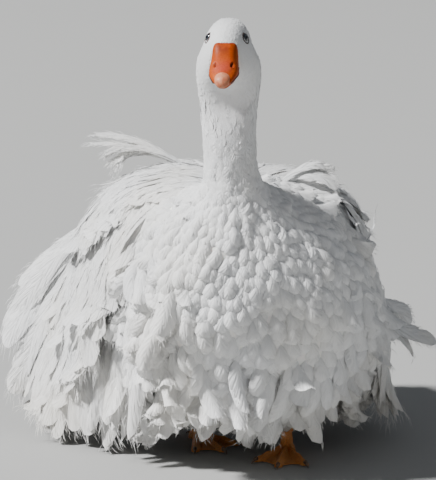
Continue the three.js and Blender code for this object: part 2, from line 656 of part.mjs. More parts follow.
// ---------------------------------------------------------------- materials and the goose
const finish = (color, roughness) => new THREE.MeshStandardMaterial({ color, roughness, metalness: 0 });

const group = new THREE.Group();
group.position.set(...ORIGIN_SHIFT);

function addNode(name, geometry, material) {
  const mesh = new THREE.Mesh(geometry, material);
  mesh.name = name;
  group.add(mesh);
}

function addBody() {
  for (const { name, from, to } of BODY_NODES) {
    const isHead = name === 'head';
    const geometry = isHead ? headWithSockets() : bodyLoft(stationIndex(from), stationIndex(to));
    addNode(name, geometry, finish(COLOURS.white, 0.85));
  }
}

function addBillAndEyes() {
  const bill = billPieces();
  addNode('bill_upper', bill.bill_upper, finish(COLOURS.orange, 0.5));
  addNode('bill_lower', bill.bill_lower, finish(COLOURS.orange, 0.5));
  addNode('bill_nail', bill.bill_nail, finish(COLOURS.nail, 0.4));
  addNode('eye_left', eyeBall(1, EYE_RADIUS), finish(COLOURS.eye, 0.1));
  addNode('eye_right', eyeBall(-1, EYE_RADIUS), finish(COLOURS.eye, 0.1));
}

function addPlumage() {
  addNode('wing_left', wing(WINGS.left, LEFT_PLUMES), finish(COLOURS.plume, 0.8));
  addNode('wing_right', wing(WINGS.right, RIGHT_PLUMES), finish(COLOURS.plume, 0.8));
  addNode('flank_left', flank(FLANKS.left), finish(COLOURS.plume, 0.8));
  addNode('flank_right', flank(FLANKS.right), finish(COLOURS.plume, 0.8));
  addNode('mantle', mantle(), finish(COLOURS.plume, 0.8));
  addNode('tail', tail(), finish(COLOURS.plume, 0.8));
}

function addLegs() {
  for (const [name, leg] of Object.entries(LEGS)) {
    addNode(`thigh_${name}`, thigh(leg), finish(COLOURS.white, 0.85));
    addNode(`shank_${name}`, shank(leg), finish(COLOURS.foot, 0.6));
    addNode(`foot_${name}`, foot(leg), finish(COLOURS.foot, 0.6));
  }
}

addBody();
addBillAndEyes();
addPlumage();
addLegs();

export default group;
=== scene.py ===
"""A still, life-size domestic goose of the curly-feathered Sebastopol breed.

Metres, +Z up. The goose faces -Y, so its own right side is -X. Body, neck and head are one
form carried along the spine. One skin follows that form inside the coat, and every feather
is a closed vane laid along the skin, the wings, the mantle or the flanks.
"""

from __future__ import annotations

import logging
import math
from dataclasses import astuple, dataclass, field
from enum import Enum
from typing import Callable, NamedTuple, Sequence

import bpy
import numpy as np
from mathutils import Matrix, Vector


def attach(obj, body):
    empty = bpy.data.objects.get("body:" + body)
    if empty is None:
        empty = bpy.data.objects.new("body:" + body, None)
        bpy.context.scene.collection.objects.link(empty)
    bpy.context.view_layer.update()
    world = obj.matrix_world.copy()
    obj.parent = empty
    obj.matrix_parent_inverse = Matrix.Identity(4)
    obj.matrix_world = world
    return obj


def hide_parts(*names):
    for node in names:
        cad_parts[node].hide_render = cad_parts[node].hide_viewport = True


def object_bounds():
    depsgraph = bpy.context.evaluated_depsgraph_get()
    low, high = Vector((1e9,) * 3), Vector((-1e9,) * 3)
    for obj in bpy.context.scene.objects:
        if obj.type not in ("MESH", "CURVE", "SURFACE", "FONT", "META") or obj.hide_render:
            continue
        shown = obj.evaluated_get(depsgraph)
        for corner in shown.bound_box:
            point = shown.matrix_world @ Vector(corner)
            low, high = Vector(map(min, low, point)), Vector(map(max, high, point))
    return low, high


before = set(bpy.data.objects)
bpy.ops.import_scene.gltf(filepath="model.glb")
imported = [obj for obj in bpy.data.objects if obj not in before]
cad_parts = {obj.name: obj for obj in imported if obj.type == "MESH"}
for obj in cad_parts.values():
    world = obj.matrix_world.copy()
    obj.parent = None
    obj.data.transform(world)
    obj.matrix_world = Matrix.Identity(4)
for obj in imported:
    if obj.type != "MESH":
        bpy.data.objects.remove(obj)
cad_bounds = [list(corner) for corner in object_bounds()]

log = logging.getLogger("goose")
Array = np.ndarray
MM = 0.001
SEED = 41
ORIGIN_SHIFT = np.array([5.0, -20.0, 0.0]) * MM
UP = np.array([0.0, 0.0, 1.0])


# ------------------------------------------------------------------ arithmetic on arrays
def unit(vectors: Array) -> Array:
    """Vectors of length one in the same directions."""
    return vectors / np.maximum(np.linalg.norm(vectors, axis=-1, keepdims=True), 1e-12)


def smoothstep(low: float, high: float, values: Array) -> Array:
    """A smooth rise from 0 at low to 1 at high."""
    share = np.clip((np.asarray(values, float) - low) / (high - low), 0.0, 1.0)
    return share * share * (3.0 - 2.0 * share)


def signed_power(values: Array, power: float) -> Array:
    """Each value's size raised to a power, with its own sign kept."""
    return np.sign(values) * np.abs(values) ** power


def bezier(start: Array, control: Array, end: Array, share: Array) -> Array:
    """The quadratic curve from start by way of control to end, at each share of it."""
    rest = 1.0 - share
    return rest * rest * start + 2.0 * rest * share * control + share * share * end


def spline(table: Array, position: Array) -> Array:
    """Catmull-Rom curve through the rows of a table.

    Between rows 1 and 2 the cubic has the slopes (row 2 - row 0) / 2 and
    (row 3 - row 1) / 2; past the ends the table goes on in a straight line.

    Args:
        table: One row of values to each whole step of position.
        position: Where to read, of any shape.

    Returns:
        The values, in the shape of position with the row's length added.
    """
    padded = np.vstack([2 * table[0] - table[1], table, 2 * table[-1] - table[-2]])
    position = np.asarray(position, float)
    start = np.clip(np.floor(position), 0, len(table) - 2).astype(int)
    t = (position - start)[..., None]
    p0, p1, p2, p3 = (padded[start + step] for step in range(4))
    slope1 = (p2 - p0) / 2
    slope2 = (p3 - p1) / 2
    bend = 2 * (p1 - p2) + slope1 + slope2
    return p1 + t * (slope1 + t * (3 * (p2 - p1) - 2 * slope1 - slope2 + t * bend))


def turned(points: Array, degrees: Array, axis: Array) -> Array:
    """Points turned about an upright axis.

    Args:
        points: Points in metres, with x, y and z last.
        degrees: The turn of each point, counterclockwise from above.
        axis: The x and y of the axis.

    Returns:
        The turned points.
    """
    angle = np.radians(degrees)
    x = points[..., 0] - axis[0]
    y = points[..., 1] - axis[1]
    out = points.copy()
    out[..., 0] = x * np.cos(angle) - y * np.sin(angle) + axis[0]
    out[..., 1] = x * np.sin(angle) + y * np.cos(angle) + axis[1]
    return out


# ------------------------------------------------------------------ surfaces
class Sheet:
    """A surface of two parameters that feathers are laid along.

    Feathers point the way that u grows. Subclasses give point() and say with hand
    whether (d/du) x (d/dv) points outwards (1) or inwards (-1).
    """

    hand: float = 1.0
    u_step: float = 0.01
    v_step: float = 0.01

    def point(self, u: Array, v: Array, depth: Array | float = 0.0) -> Array:
        """The point at (u, v), sunk by depth metres."""
        raise NotImplementedError

    def slopes(self, u: Array, v: Array, depth: Array | float = 0.0) -> tuple[Array, Array]:
        """The two derivatives of the surface, by central differences."""
        du, dv = self.u_step, self.v_step
        along = (self.point(u + du, v, depth) - self.point(u - du, v, depth)) / (2 * du)
        across = (self.point(u, v + dv, depth) - self.point(u, v - dv, depth)) / (2 * dv)
        return along, across

    def outward(self, u: Array, v: Array, depth: Array | float = 0.0) -> Array:
        """The outward unit normal at (u, v)."""
        along, across = self.slopes(u, v, depth)
        return unit(np.cross(along, across)) * self.hand


@dataclass(frozen=True)
class Station:
    """One named place on the spine, seen from the side before the head is turned.

    The back line runs through top and the throat or belly line through bottom, each (y, z).
    Wide is the level of the widest point as a share of the height, lobe the height of the
    tufts, coat the depth of the feathers over the skin and pinch how much narrower the skull
    is than the cheeks. All sizes are in millimetres.
    """

    name: str
    x: float
    top: tuple[float, float]
    bottom: tuple[float, float]
    half: float
    wide: float
    lobe: float
    coat: float
    pinch: float = 0.0


SPINE = (
    Station("face", -62, (-203, 511), (-188, 472), 17.2, 0.34, 0, 0.7),
    Station("lores", -62, (-191, 523), (-181, 463), 23.6, 0.38, 0, 0.8, 0.04),
    Station("brow", -62, (-172, 531), (-171, 453), 30, 0.4, 0, 0.9, 0.07),
    Station("crown", -62, (-150, 533), (-166, 442), 35, 0.42, 0, 1.1, 0.17),
    Station("occiput", -62, (-124, 527), (-164, 431), 36.5, 0.42, 0, 1.4, 0.22),
    Station("nape", -62, (-106, 501), (-166, 420), 35, 0.46, 0, 1.8, 0.2),
    Station("throat", -62, (-103, 468), (-169, 408), 32.5, 0.5, 0.3, 2.3, 0.06),
    Station("upper_neck", -62, (-107, 430), (-172, 392), 31, 0.5, 0.6, 3.0),
    Station("middle_neck", -61, (-109, 398), (-174, 374), 30.5, 0.5, 0.8, 4.0),
    Station("lower_neck", -59, (-107, 370), (-176, 350), 32, 0.5, 1, 6.5),
    Station("neck_base", -53, (-96, 347), (-182, 320), 42, 0.5, 1.5, 8.0),
    Station("collar", -44, (-74, 338), (-194, 284), 72, 0.5, 2.5, 10.0),
    Station("shoulder", -34, (-50, 335), (-207, 240), 106, 0.5, 3.5, 12.0),
    Station("high_breast", -26, (-26, 334), (-214, 190), 131, 0.5, 4, 13.0),
    Station("breast", -19, (0, 330), (-206, 140), 146, 0.5, 4, 14.0),
    Station("low_breast", -13, (28, 326), (-176, 99), 152, 0.5, 3.5, 14.0),
    Station("belly", -8, (58, 323), (-118, 73), 153, 0.48, 3, 14.0),
    Station("mid_trunk", -4, (90, 317), (-44, 60), 150, 0.47, 2.5, 14.0),
    Station("flank", -2, (122, 307), (38, 57), 142, 0.46, 2.5, 14.0),
    Station("loin", 0, (152, 291), (110, 68), 124, 0.46, 2.5, 13.0),
    Station("rump", 0, (178, 272), (162, 100), 95, 0.5, 2.5, 12.0),
    Station("vent", 0, (197, 262), (194, 148), 62, 0.52, 2, 9.0),
    Station("tail_base", 0, (207, 243), (208, 186), 36, 0.5, 0, 6.0),
)
FACE, THROAT, LOWER_NECK = 0, 6, 9
LAST_STATION = len(SPINE) - 1


@dataclass
class GooseForm(Sheet):
    """The form of head, neck and body: a superellipse carried along the spine.

    u is the station number and v the angle round the section, from the goose's left over
    its back. A section's plane holds the line from bottom to top and the sideways
    direction. The head is turned about an upright axis, and the turn fades down the neck.
    """

    roundness: float = 2.25
    lobes_round: int = 8
    lobes_per_station: float = 0.5
    head_turn: float = -20.0
    pinch_levels: tuple[float, float] = (0.05, 0.55)
    neck_axis: tuple[float, float] = (-62 * MM, -142 * MM)
    table: Array = field(init=False)

    def __post_init__(self) -> None:
        """Gathers the stations in one table of numbers, in metres."""
        rows = [
            (s.x, *s.top, *s.bottom, s.half, s.lobe, s.coat, s.wide / MM, s.pinch / MM) for s in SPINE
        ]
        self.table = np.array(rows) * MM

    def coat_depth(self, u: Array) -> Array:
        """How far the skin lies inside the form at station u."""
        return spline(self.table, np.clip(u, 0, LAST_STATION))[..., 7]

    def turn_at(self, u: Array) -> Array:
        """The turn of the section at station u, in degrees."""
        return self.head_turn * (1 - smoothstep(THROAT - 1, LOWER_NECK, u))

    def point(self, u: Array, v: Array, depth: Array | float = 0.0) -> Array:
        """The point at (u, v), sunk by depth.

        Centre = bottom + up * height * wide. The ring is centre + across * X + rise * up,
        where across = half * cos(v)^p and rise = reach * sin(v)^p with signs kept and
        p = 2 / roundness; across is less by the pinch above the widest point. The ring is
        then grown in its own plane by the lobes, less depth.

        Args:
            u: Station number, of any shape.
            v: Angle in radians, of the same shape.
            depth: Metres below the form.

        Returns:
            Points in metres.
        """
        u, v = np.broadcast_arrays(np.asarray(u, float), np.asarray(v, float))
        row = spline(self.table, u)
        x, top_y, top_z, low_y, low_z, half, lobe = (row[..., k] for k in range(7))
        wide = row[..., 8]
        height = np.hypot(top_y - low_y, top_z - low_z)
        up_y = (top_y - low_y) / height
        up_z = (top_z - low_z) / height
        power = 2 / self.roundness
        reach = height * np.where(np.sin(v) > 0, 1 - wide, wide)
        climb = signed_power(np.sin(v), power)
        narrowing = 1 - row[..., 9] * smoothstep(*self.pinch_levels, climb)
        across = half * narrowing * signed_power(np.cos(v), power)
        rise = reach * climb
        wave = np.cos(2 * np.pi * self.lobes_per_station * u) * np.cos(self.lobes_round * v)
        radius = np.hypot(across, rise)
        stretch = np.maximum(1 + (lobe * wave - depth) / radius, 0.05)
        level = height * wide + rise * stretch
        place = [x + across * stretch, low_y + up_y * level, low_z + up_z * level]
        return turned(np.stack(place, axis=-1), self.turn_at(u), self.neck_axis) + ORIGIN_SHIFT

    def head_point(self, x: float, y: float, z: float) -> Array:
        """A point of the head, given in millimetres before the head is turned."""
        return turned(np.array([x, y, z]) * MM, self.head_turn, self.neck_axis) + ORIGIN_SHIFT

    def head_direction(self, x: float, y: float, z: float) -> Array:
        """A direction on the head, given before the head is turned."""
        return unit(turned(np.array([x, y, z]), self.head_turn, (0.0, 0.0)))

    def unwrapped(self, u: Array, v: Array) -> Array:
        """Where (u, v) lies on the unwrap of the skin, from 0 to 1 each way."""
        return np.stack([np.mod(v / (2 * np.pi), 1.0), u / LAST_STATION], axis=-1)

    def nearest_place(self, points: Array) -> Array:
        """Where the nearest point of the skin lies on its unwrap, for each given point."""
        u, v = np.meshgrid(np.arange(0, LAST_STATION, 0.25), np.arange(0, 2 * np.pi, 0.09))
        places = self.unwrapped(u.ravel(), v.ravel())
        skin = self.point(u.ravel(), v.ravel())
        gaps = (points ** 2).sum(1)[:, None] - 2 * points @ skin.T + (skin ** 2).sum(1)
        return places[np.argmin(gaps, axis=1)]


@dataclass(frozen=True)
class Cut:
    """One upright cut through a hanging layer: leaves the body at top, swings out by way of
    bulge and ends at hem, each (x, z) in millimetres at the given y."""

    y: float
    top: tuple[float, float]
    bulge: tuple[float, float]
    hem: tuple[float, float]


@dataclass
class Curtain(Sheet):
    """A layer of plumage that hangs from the back.

    u runs from 0 at the top edge to 1 at the hem and on past it, v is the number of the
    cut. Each cut is a quadratic curve from top by way of bulge to hem.
    """

    cuts: tuple[Cut, ...] = ()
    side: int = 1
    spread: float = 1.0
    lift: float = 0.0
    drop: float = 0.0
    table: Array = field(init=False)

    def __post_init__(self) -> None:
        """Gathers the cuts in one table of numbers, in metres."""
        middle = np.sin(np.pi * np.arange(len(self.cuts)) / (len(self.cuts) - 1))
        rows = [(c.y, *c.top, *c.bulge, *c.hem) for c in self.cuts]
        self.table = np.array(rows, float)
        self.table[:, 3] *= self.spread
        self.table[:, 5] *= self.spread
        self.table[:, 4] += self.lift
        self.table[:, 6] -= self.drop * middle
        self.table *= MM
        self.hand = float(self.side)
        self.v_step = 0.05

    def point(self, u: Array, v: Array, depth: Array | float = 0.0) -> Array:
        """The point at (u, v), sunk by depth towards the body's middle.

        Past the hem the cut goes straight on in the direction it had there.

        Args:
            u: Share of the way from top to hem.
            v: Number of the cut.
            depth: Metres below the layer's outer face.

        Returns:
            Points in metres.
        """
        u, v = np.broadcast_arrays(np.asarray(u, float), np.asarray(v, float))
        row = spline(self.table, v)
        start, control, end = row[..., 1:3], row[..., 3:5], row[..., 5:7]
        held = np.minimum(u, 1.0)[..., None]
        over = np.maximum(u - 1.0, 0.0)[..., None]
        flat = bezier(start, control, end, held) + over * 2 * (end - control)
        slope = 2 * (1 - held) * (control - start) + 2 * held * (end - control)
        inward = unit(np.stack([slope[..., 1], -slope[..., 0]], axis=-1))
        flat = flat + inward * np.asarray(depth)[..., None]
        place = np.stack([self.side * flat[..., 0], row[..., 0], flat[..., 1]], axis=-1)
        return place + ORIGIN_SHIFT


@dataclass
class Column(Sheet):
    """An upright feathered column, such as a thigh: u runs from 0 at the top to 1 at the
    lower end, v is the angle round it."""

    foot: tuple[float, float] = (0.0, 0.0)
    lean: float = 0.0
    top: float = 0.112
    bottom: float = 0.028
    low_radius: float = 0.0125
    high_radius: float = 0.024

    def point(self, u: Array, v: Array, depth: Array | float = 0.0) -> Array:
        """The point at (u, v), sunk by depth: radius = low + (high - low) * sqrt(1 - u)."""
        u, v = np.broadcast_arrays(np.asarray(u, float), np.asarray(v, float))
        left = np.clip(1 - u, 0.0, 1.5)
        radius = self.low_radius + (self.high_radius - self.low_radius) * np.sqrt(left) - depth
        x = self.foot[0] + radius * np.cos(v)
        y = self.foot[1] + self.lean * left + radius * np.sin(v)
        z = self.bottom + (self.top - self.bottom) * (1 - u)
        return np.stack([x, y, z], axis=-1) + ORIGIN_SHIFT


# ------------------------------------------------------------------ meshes
FACE_SHARE = 0.2


@dataclass
class Parts:
    """Vertices and faces gathered for one mesh, with what each vertex carries.

    Faces are kept by their number of corners, so that every batch is one array.
    """

    points: list[Array] = field(default_factory=list)
    quads: list[Array] = field(default_factory=list)
    triangles: list[Array] = field(default_factory=list)
    places: list[Array] = field(default_factory=list)
    vanes: list[Array] = field(default_factory=list)
    tones: list[Array] = field(default_factory=list)
    leans: list[Array] = field(default_factory=list)
    count: int = 0

    def add(
        self, points: Array, quads: Array | None, triangles: Array | None, places: Array | None = None,
        vanes: Array | None = None, tones: Array | None = None, leans: Array | None = None,
    ) -> None:
        """Adds a batch.

        Args:
            points: (n, 3) vertices.
            quads: (q, 4) corners, counted from this batch's first vertex.
            triangles: (t, 3) corners, counted likewise.
            places: (n, 2) places on the skin's unwrap.
            vanes: (n, 2) millimetres across and along the vane.
            tones: (n, 3) random tone, share of the way to the tip, and layer.
            leans: (n, 3) directions that light sees the surface face; 0 leaves its own.
        """
        size = len(points)
        self.points.append(points)
        self.places.append(np.zeros((size, 2)) if places is None else places)
        self.vanes.append(np.zeros((size, 2)) if vanes is None else vanes)
        self.tones.append(np.zeros((size, 3)) if tones is None else tones)
        self.leans.append(np.zeros((size, 3)) if leans is None else leans)
        if quads is not None and len(quads):
            self.quads.append(quads + self.count)
        if triangles is not None and len(triangles):
            self.triangles.append(triangles + self.count)
        self.count += size

    def triangle_count(self) -> int:
        """How many triangles the mesh has."""
        return 2 * sum(map(len, self.quads)) + sum(map(len, self.triangles))

    def build(self, name: str, mapped: bool = True) -> bpy.types.Object:
        """Makes the mesh object.

        Args:
            name: The piece's name.
            mapped: Whether it gets the maps OFBake and Vane and the attribute tone.

        Returns:
            The new object, linked to the scene and smooth shaded.
        """
        quads = np.vstack(self.quads) if self.quads else np.zeros((0, 4), int)
        triangles = np.vstack(self.triangles) if self.triangles else np.zeros((0, 3), int)
        corners = np.concatenate([quads.ravel(), triangles.ravel()]).astype(np.int32)
        starts = np.concatenate(
            [np.arange(len(quads)) * 4, quads.size + np.arange(len(triangles)) * 3]
        ).astype(np.int32)
        mesh = bpy.data.meshes.new(name)
        points = np.vstack(self.points)
        mesh.vertices.add(len(points))
        mesh.vertices.foreach_set("co", points.astype(np.float32).ravel())
        mesh.loops.add(len(corners))
        mesh.loops.foreach_set("vertex_index", corners)
        mesh.polygons.add(len(starts))
        mesh.polygons.foreach_set("loop_start", starts)
        mesh.update(calc_edges=True)
        if mapped:
            for title, values in (("OFBake", self.places), ("Vane", self.vanes)):
                layer = mesh.uv_layers.new(name=title)
                layer.data.foreach_set("uv", np.vstack(values)[corners].astype(np.float32).ravel())
            tone = mesh.attributes.new("tone", "FLOAT_VECTOR", "POINT")
            tone.data.foreach_set("vector", np.vstack(self.tones).astype(np.float32).ravel())
        mesh.validate()
        mesh.shade_smooth()
        if mapped:
            self._lean(mesh)
        piece = bpy.data.objects.new(name, mesh)
        bpy.context.scene.collection.objects.link(piece)
        return piece

    def _lean(self, mesh: bpy.types.Mesh) -> None:
        """Sets how light sees the faces: the given directions, kept on each face's own side."""
        corner = read(mesh.loops, "vertex_index", 1, np.int32)[:, 0]
        total = read(mesh.polygons, "loop_total", 1, np.int32)[:, 0]
        flat = np.repeat(read(mesh.polygons, "normal", 3, np.float32), total, axis=0)
        lean = np.vstack(self.leans).astype(np.float32)[corner]
        given = (lean * lean).sum(1) > 0.5
        side = (lean * flat).sum(1, keepdims=True)
        lean = unit(lean - 2 * np.minimum(side, 0) * flat + FACE_SHARE * flat)
        mesh.normals_split_custom_set(np.where(given[:, None], lean, 0))


def read(items: bpy.types.bpy_prop_collection, key: str, width: int, kind: type) -> Array:
    """One property of every item as an (n, width) array."""
    values = np.empty(len(items) * width, kind)
    items.foreach_get(key, values)
    return values.reshape(-1, width)


def closed_grid(rings: Array) -> tuple[Array, Array, Array]:
    """A closed surface from rings: quads between them and a fan on a pole at each end.

    Args:
        rings: (m, n, 3) points, n round each ring, with outward faces where a ring runs
            counterclockwise seen from the side the next ring lies on.

    Returns:
        Vertices, quads and triangles.
    """
    m, n = rings.shape[:2]
    points = np.vstack([rings.reshape(-1, 3), rings[0].mean(0), rings[-1].mean(0)])
    ring, side = np.meshgrid(np.arange(m - 1), np.arange(n), indexing="ij")
    a = ring * n + side
    b = ring * n + (side + 1) % n
    quads = np.stack([a, b, b + n, a + n], axis=-1).reshape(-1, 4)
    side = np.arange(n)
    after = (side + 1) % n
    first = np.stack([np.full(n, m * n), after, side], axis=-1)
    last = np.stack([np.full(n, m * n + 1), side + (m - 1) * n, after + (m - 1) * n], axis=-1)
    return points, quads, np.vstack([first, last])


def closed_outward(rings: Array) -> tuple[Array, Array, Array]:
    """The surface of closed_grid with its faces turned outwards, whichever way it runs."""
    points, quads, triangles = closed_grid(rings)
    corners = points[quads]
    volume = np.einsum("ij,ij->i", corners[:, 0], np.cross(corners[:, 1], corners[:, 2]))
    volume += np.einsum("ij,ij->i", corners[:, 0], np.cross(corners[:, 2], corners[:, 3]))
    if volume.sum() < 0:
        return points, quads[:, ::-1], triangles[:, ::-1]
    return points, quads, triangles


def grid_piece(name: str, grids: Sequence[Array]) -> bpy.types.Object:
    """One object made of closed ring grids."""
    parts = Parts()
    for rings in grids:
        parts.add(*closed_outward(rings))
    return parts.build(name, mapped=False)


def tube_rings(centres: Array, radii: Array, sides: int, flat: float = 1.0) -> Array:
    """Rings along a curve, each square to it.

    Args:
        centres: (m, 3) points of the curve.
        radii: (m,) radius at each.
        sides: Points round a ring.
        flat: Height of a ring as a share of its width.

    Returns:
        (m, sides, 3) points.
    """
    heading = unit(np.gradient(centres, axis=0))
    aside = np.cross(UP, heading)
    upright = np.linalg.norm(aside, axis=1) < 0.15
    aside[upright] = (1.0, 0.0, 0.0)
    aside = unit(aside)
    above = np.cross(heading, aside)
    angle = np.linspace(0, 2 * np.pi, sides, endpoint=False)[None, :, None]
    wide = aside[:, None] * np.cos(angle) + above[:, None] * np.sin(angle) * flat
    return centres[:, None] + wide * np.asarray(radii)[:, None, None]


# ------------------------------------------------------------------ feathers
ROOM_ROUND = 12 * MM
BOX_SOFTNESS = 22 * MM
FLOOR_SOFTNESS = 12 * MM


def kept_in(points: Array) -> Array:
    """Points eased back inside the goose's own box, with some room round it.

    Near a side each coordinate c is replaced by edge - s + s * tanh((c - edge + s) / s), and
    near the floor z by s * exp(z / s - 1).
    """
    low, high = np.array(cad_bounds[0]) - ROOM_ROUND, np.array(cad_bounds[1]) + ROOM_ROUND
    s = BOX_SOFTNESS
    over, under = points - (high - s), (low + s) - points
    out = np.where(over > 0, high - s + s * np.tanh(over / s), points)
    out = np.where(under > 0, low + s - s * np.tanh(under / s), out)
    z = points[..., 2]
    near_floor = FLOOR_SOFTNESS * np.exp(np.minimum(z / FLOOR_SOFTNESS - 1, 0))
    out[..., 2] = np.where(z < FLOOR_SOFTNESS, near_floor, out[..., 2])
    return out


@dataclass(frozen=True)
class Vane:
    """The cut of one kind of feather: its mesh, its outline and its fringe.

    Lengths are shares of the feather's own length or half width unless they are in metres.
    Softness is how far its shading follows the coat as a whole instead of its own face.
    """

    rows: int = 7
    columns: int = 5
    widest: float = 0.62
    root_width: float = 0.35
    blunt: float = 2.0
    cup: float = 0.4
    sweep: float = 0.25
    ragged: float = 0.07
    thickness: float = 0.0006
    barbs: int = 8
    barb_length: float = 0.16
    barb_width: float = 0.0004
    barb_angle: tuple[float, float] = (0.2, 0.85)
    edge_share: float = 0.5
    crowding: float = 1.35
    softness: float = 0.3

    def shares(self) -> Array:
        """Where the rows lie along the feather: closer together towards the tip."""
        return 1 - (1 - np.linspace(0, 1, self.rows)) ** self.crowding

    def row_of(self, share: Array) -> Array:
        """The row number, with a fraction, of a share of the length."""
        return (1 - (1 - share) ** (1 / self.crowding)) * (self.rows - 1)

    def outline(self, share: Array) -> Array:
        """Half width as a share of the widest: a sine rise from the root, then a
        superellipse that closes at the tip."""
        rising = self.root_width + (1 - self.root_width) * np.sin(np.pi / 2 * share / self.widest)
        past = np.clip((share - self.widest) / (1 - self.widest), 0, 1)
        closing = (1 - past ** self.blunt) ** (1 / self.blunt)
        return np.where(share < self.widest, rising, closing)

    def faces(self) -> tuple[Array, Array]:
        """Quads and triangles of one vane: root, tip, upper rows, then lower rows."""
        rows, columns = self.rows - 2, self.columns
        row, column = np.meshgrid(np.arange(rows), np.arange(columns), indexing="ij")
        upper = 2 + row * columns + column
        inner = 2 + rows * columns + row * (columns - 2) + column - 1
        edge = (column == 0) | (column == columns - 1)
        lower = np.where(edge, upper, inner)
        quads, triangles = [], []
        for sheet, flip in ((upper, False), (lower, True)):
            a, b, c, d = sheet[:-1, :-1], sheet[1:, :-1], sheet[1:, 1:], sheet[:-1, 1:]
            squares = np.stack([a, b, c, d], axis=-1).reshape(-1, 4)
            first, last = sheet[0], sheet[-1]
            root_fan = np.stack([np.zeros(columns - 1, int), first[:-1], first[1:]], axis=-1)
            tip_fan = np.stack([last[:-1], np.ones(columns - 1, int), last[1:]], axis=-1)
            fans = np.vstack([root_fan, tip_fan])
            quads.append(squares[:, ::-1] if flip else squares)
            triangles.append(fans[:, ::-1] if flip else fans)
        return np.vstack(quads), np.vstack(triangles)


@dataclass
class Flight:
    """One batch of feathers of the same cut: the paths they follow and how they stand.

    Base and normal are (n, rows, 3); the rest hold one value for each feather. Rise is the
    height gained by the tip, in metres; tuck bends the tip in (below 0) or out (above 0),
    sway bends it aside and twist turns it about its own shaft, in radians.
    """

    base: Array
    normal: Array
    places: Array
    length: Array
    width: Array
    rise: Array
    tuck: Array
    sway: Array
    twist: Array


class Shafts(NamedTuple):
    """The shafts of one batch, row by row: each row's share of the length, its point, the
    unit directions ahead, aside and out of the vane's face there, and the half width."""

    share: Array
    point: Array
    ahead: Array
    spread: Array
    face: Array
    half: Array


PATCH = 0.003
SLIVER_CORNERS = 5
SLIVER_FACES = np.array([[2, 0, 4], [0, 1, 4], [1, 2, 4], [0, 2, 3], [1, 0, 3], [2, 1, 3]])


def running_sum(values: Array, shares: Array) -> Array:
    """The integral of values over shares, row by row, by the trapezoid rule."""
    strips = 0.5 * (values[:, 1:] + values[:, :-1]) * np.diff(shares)
    return np.concatenate([np.zeros((len(values), 1)), np.cumsum(strips, axis=1)], axis=1)


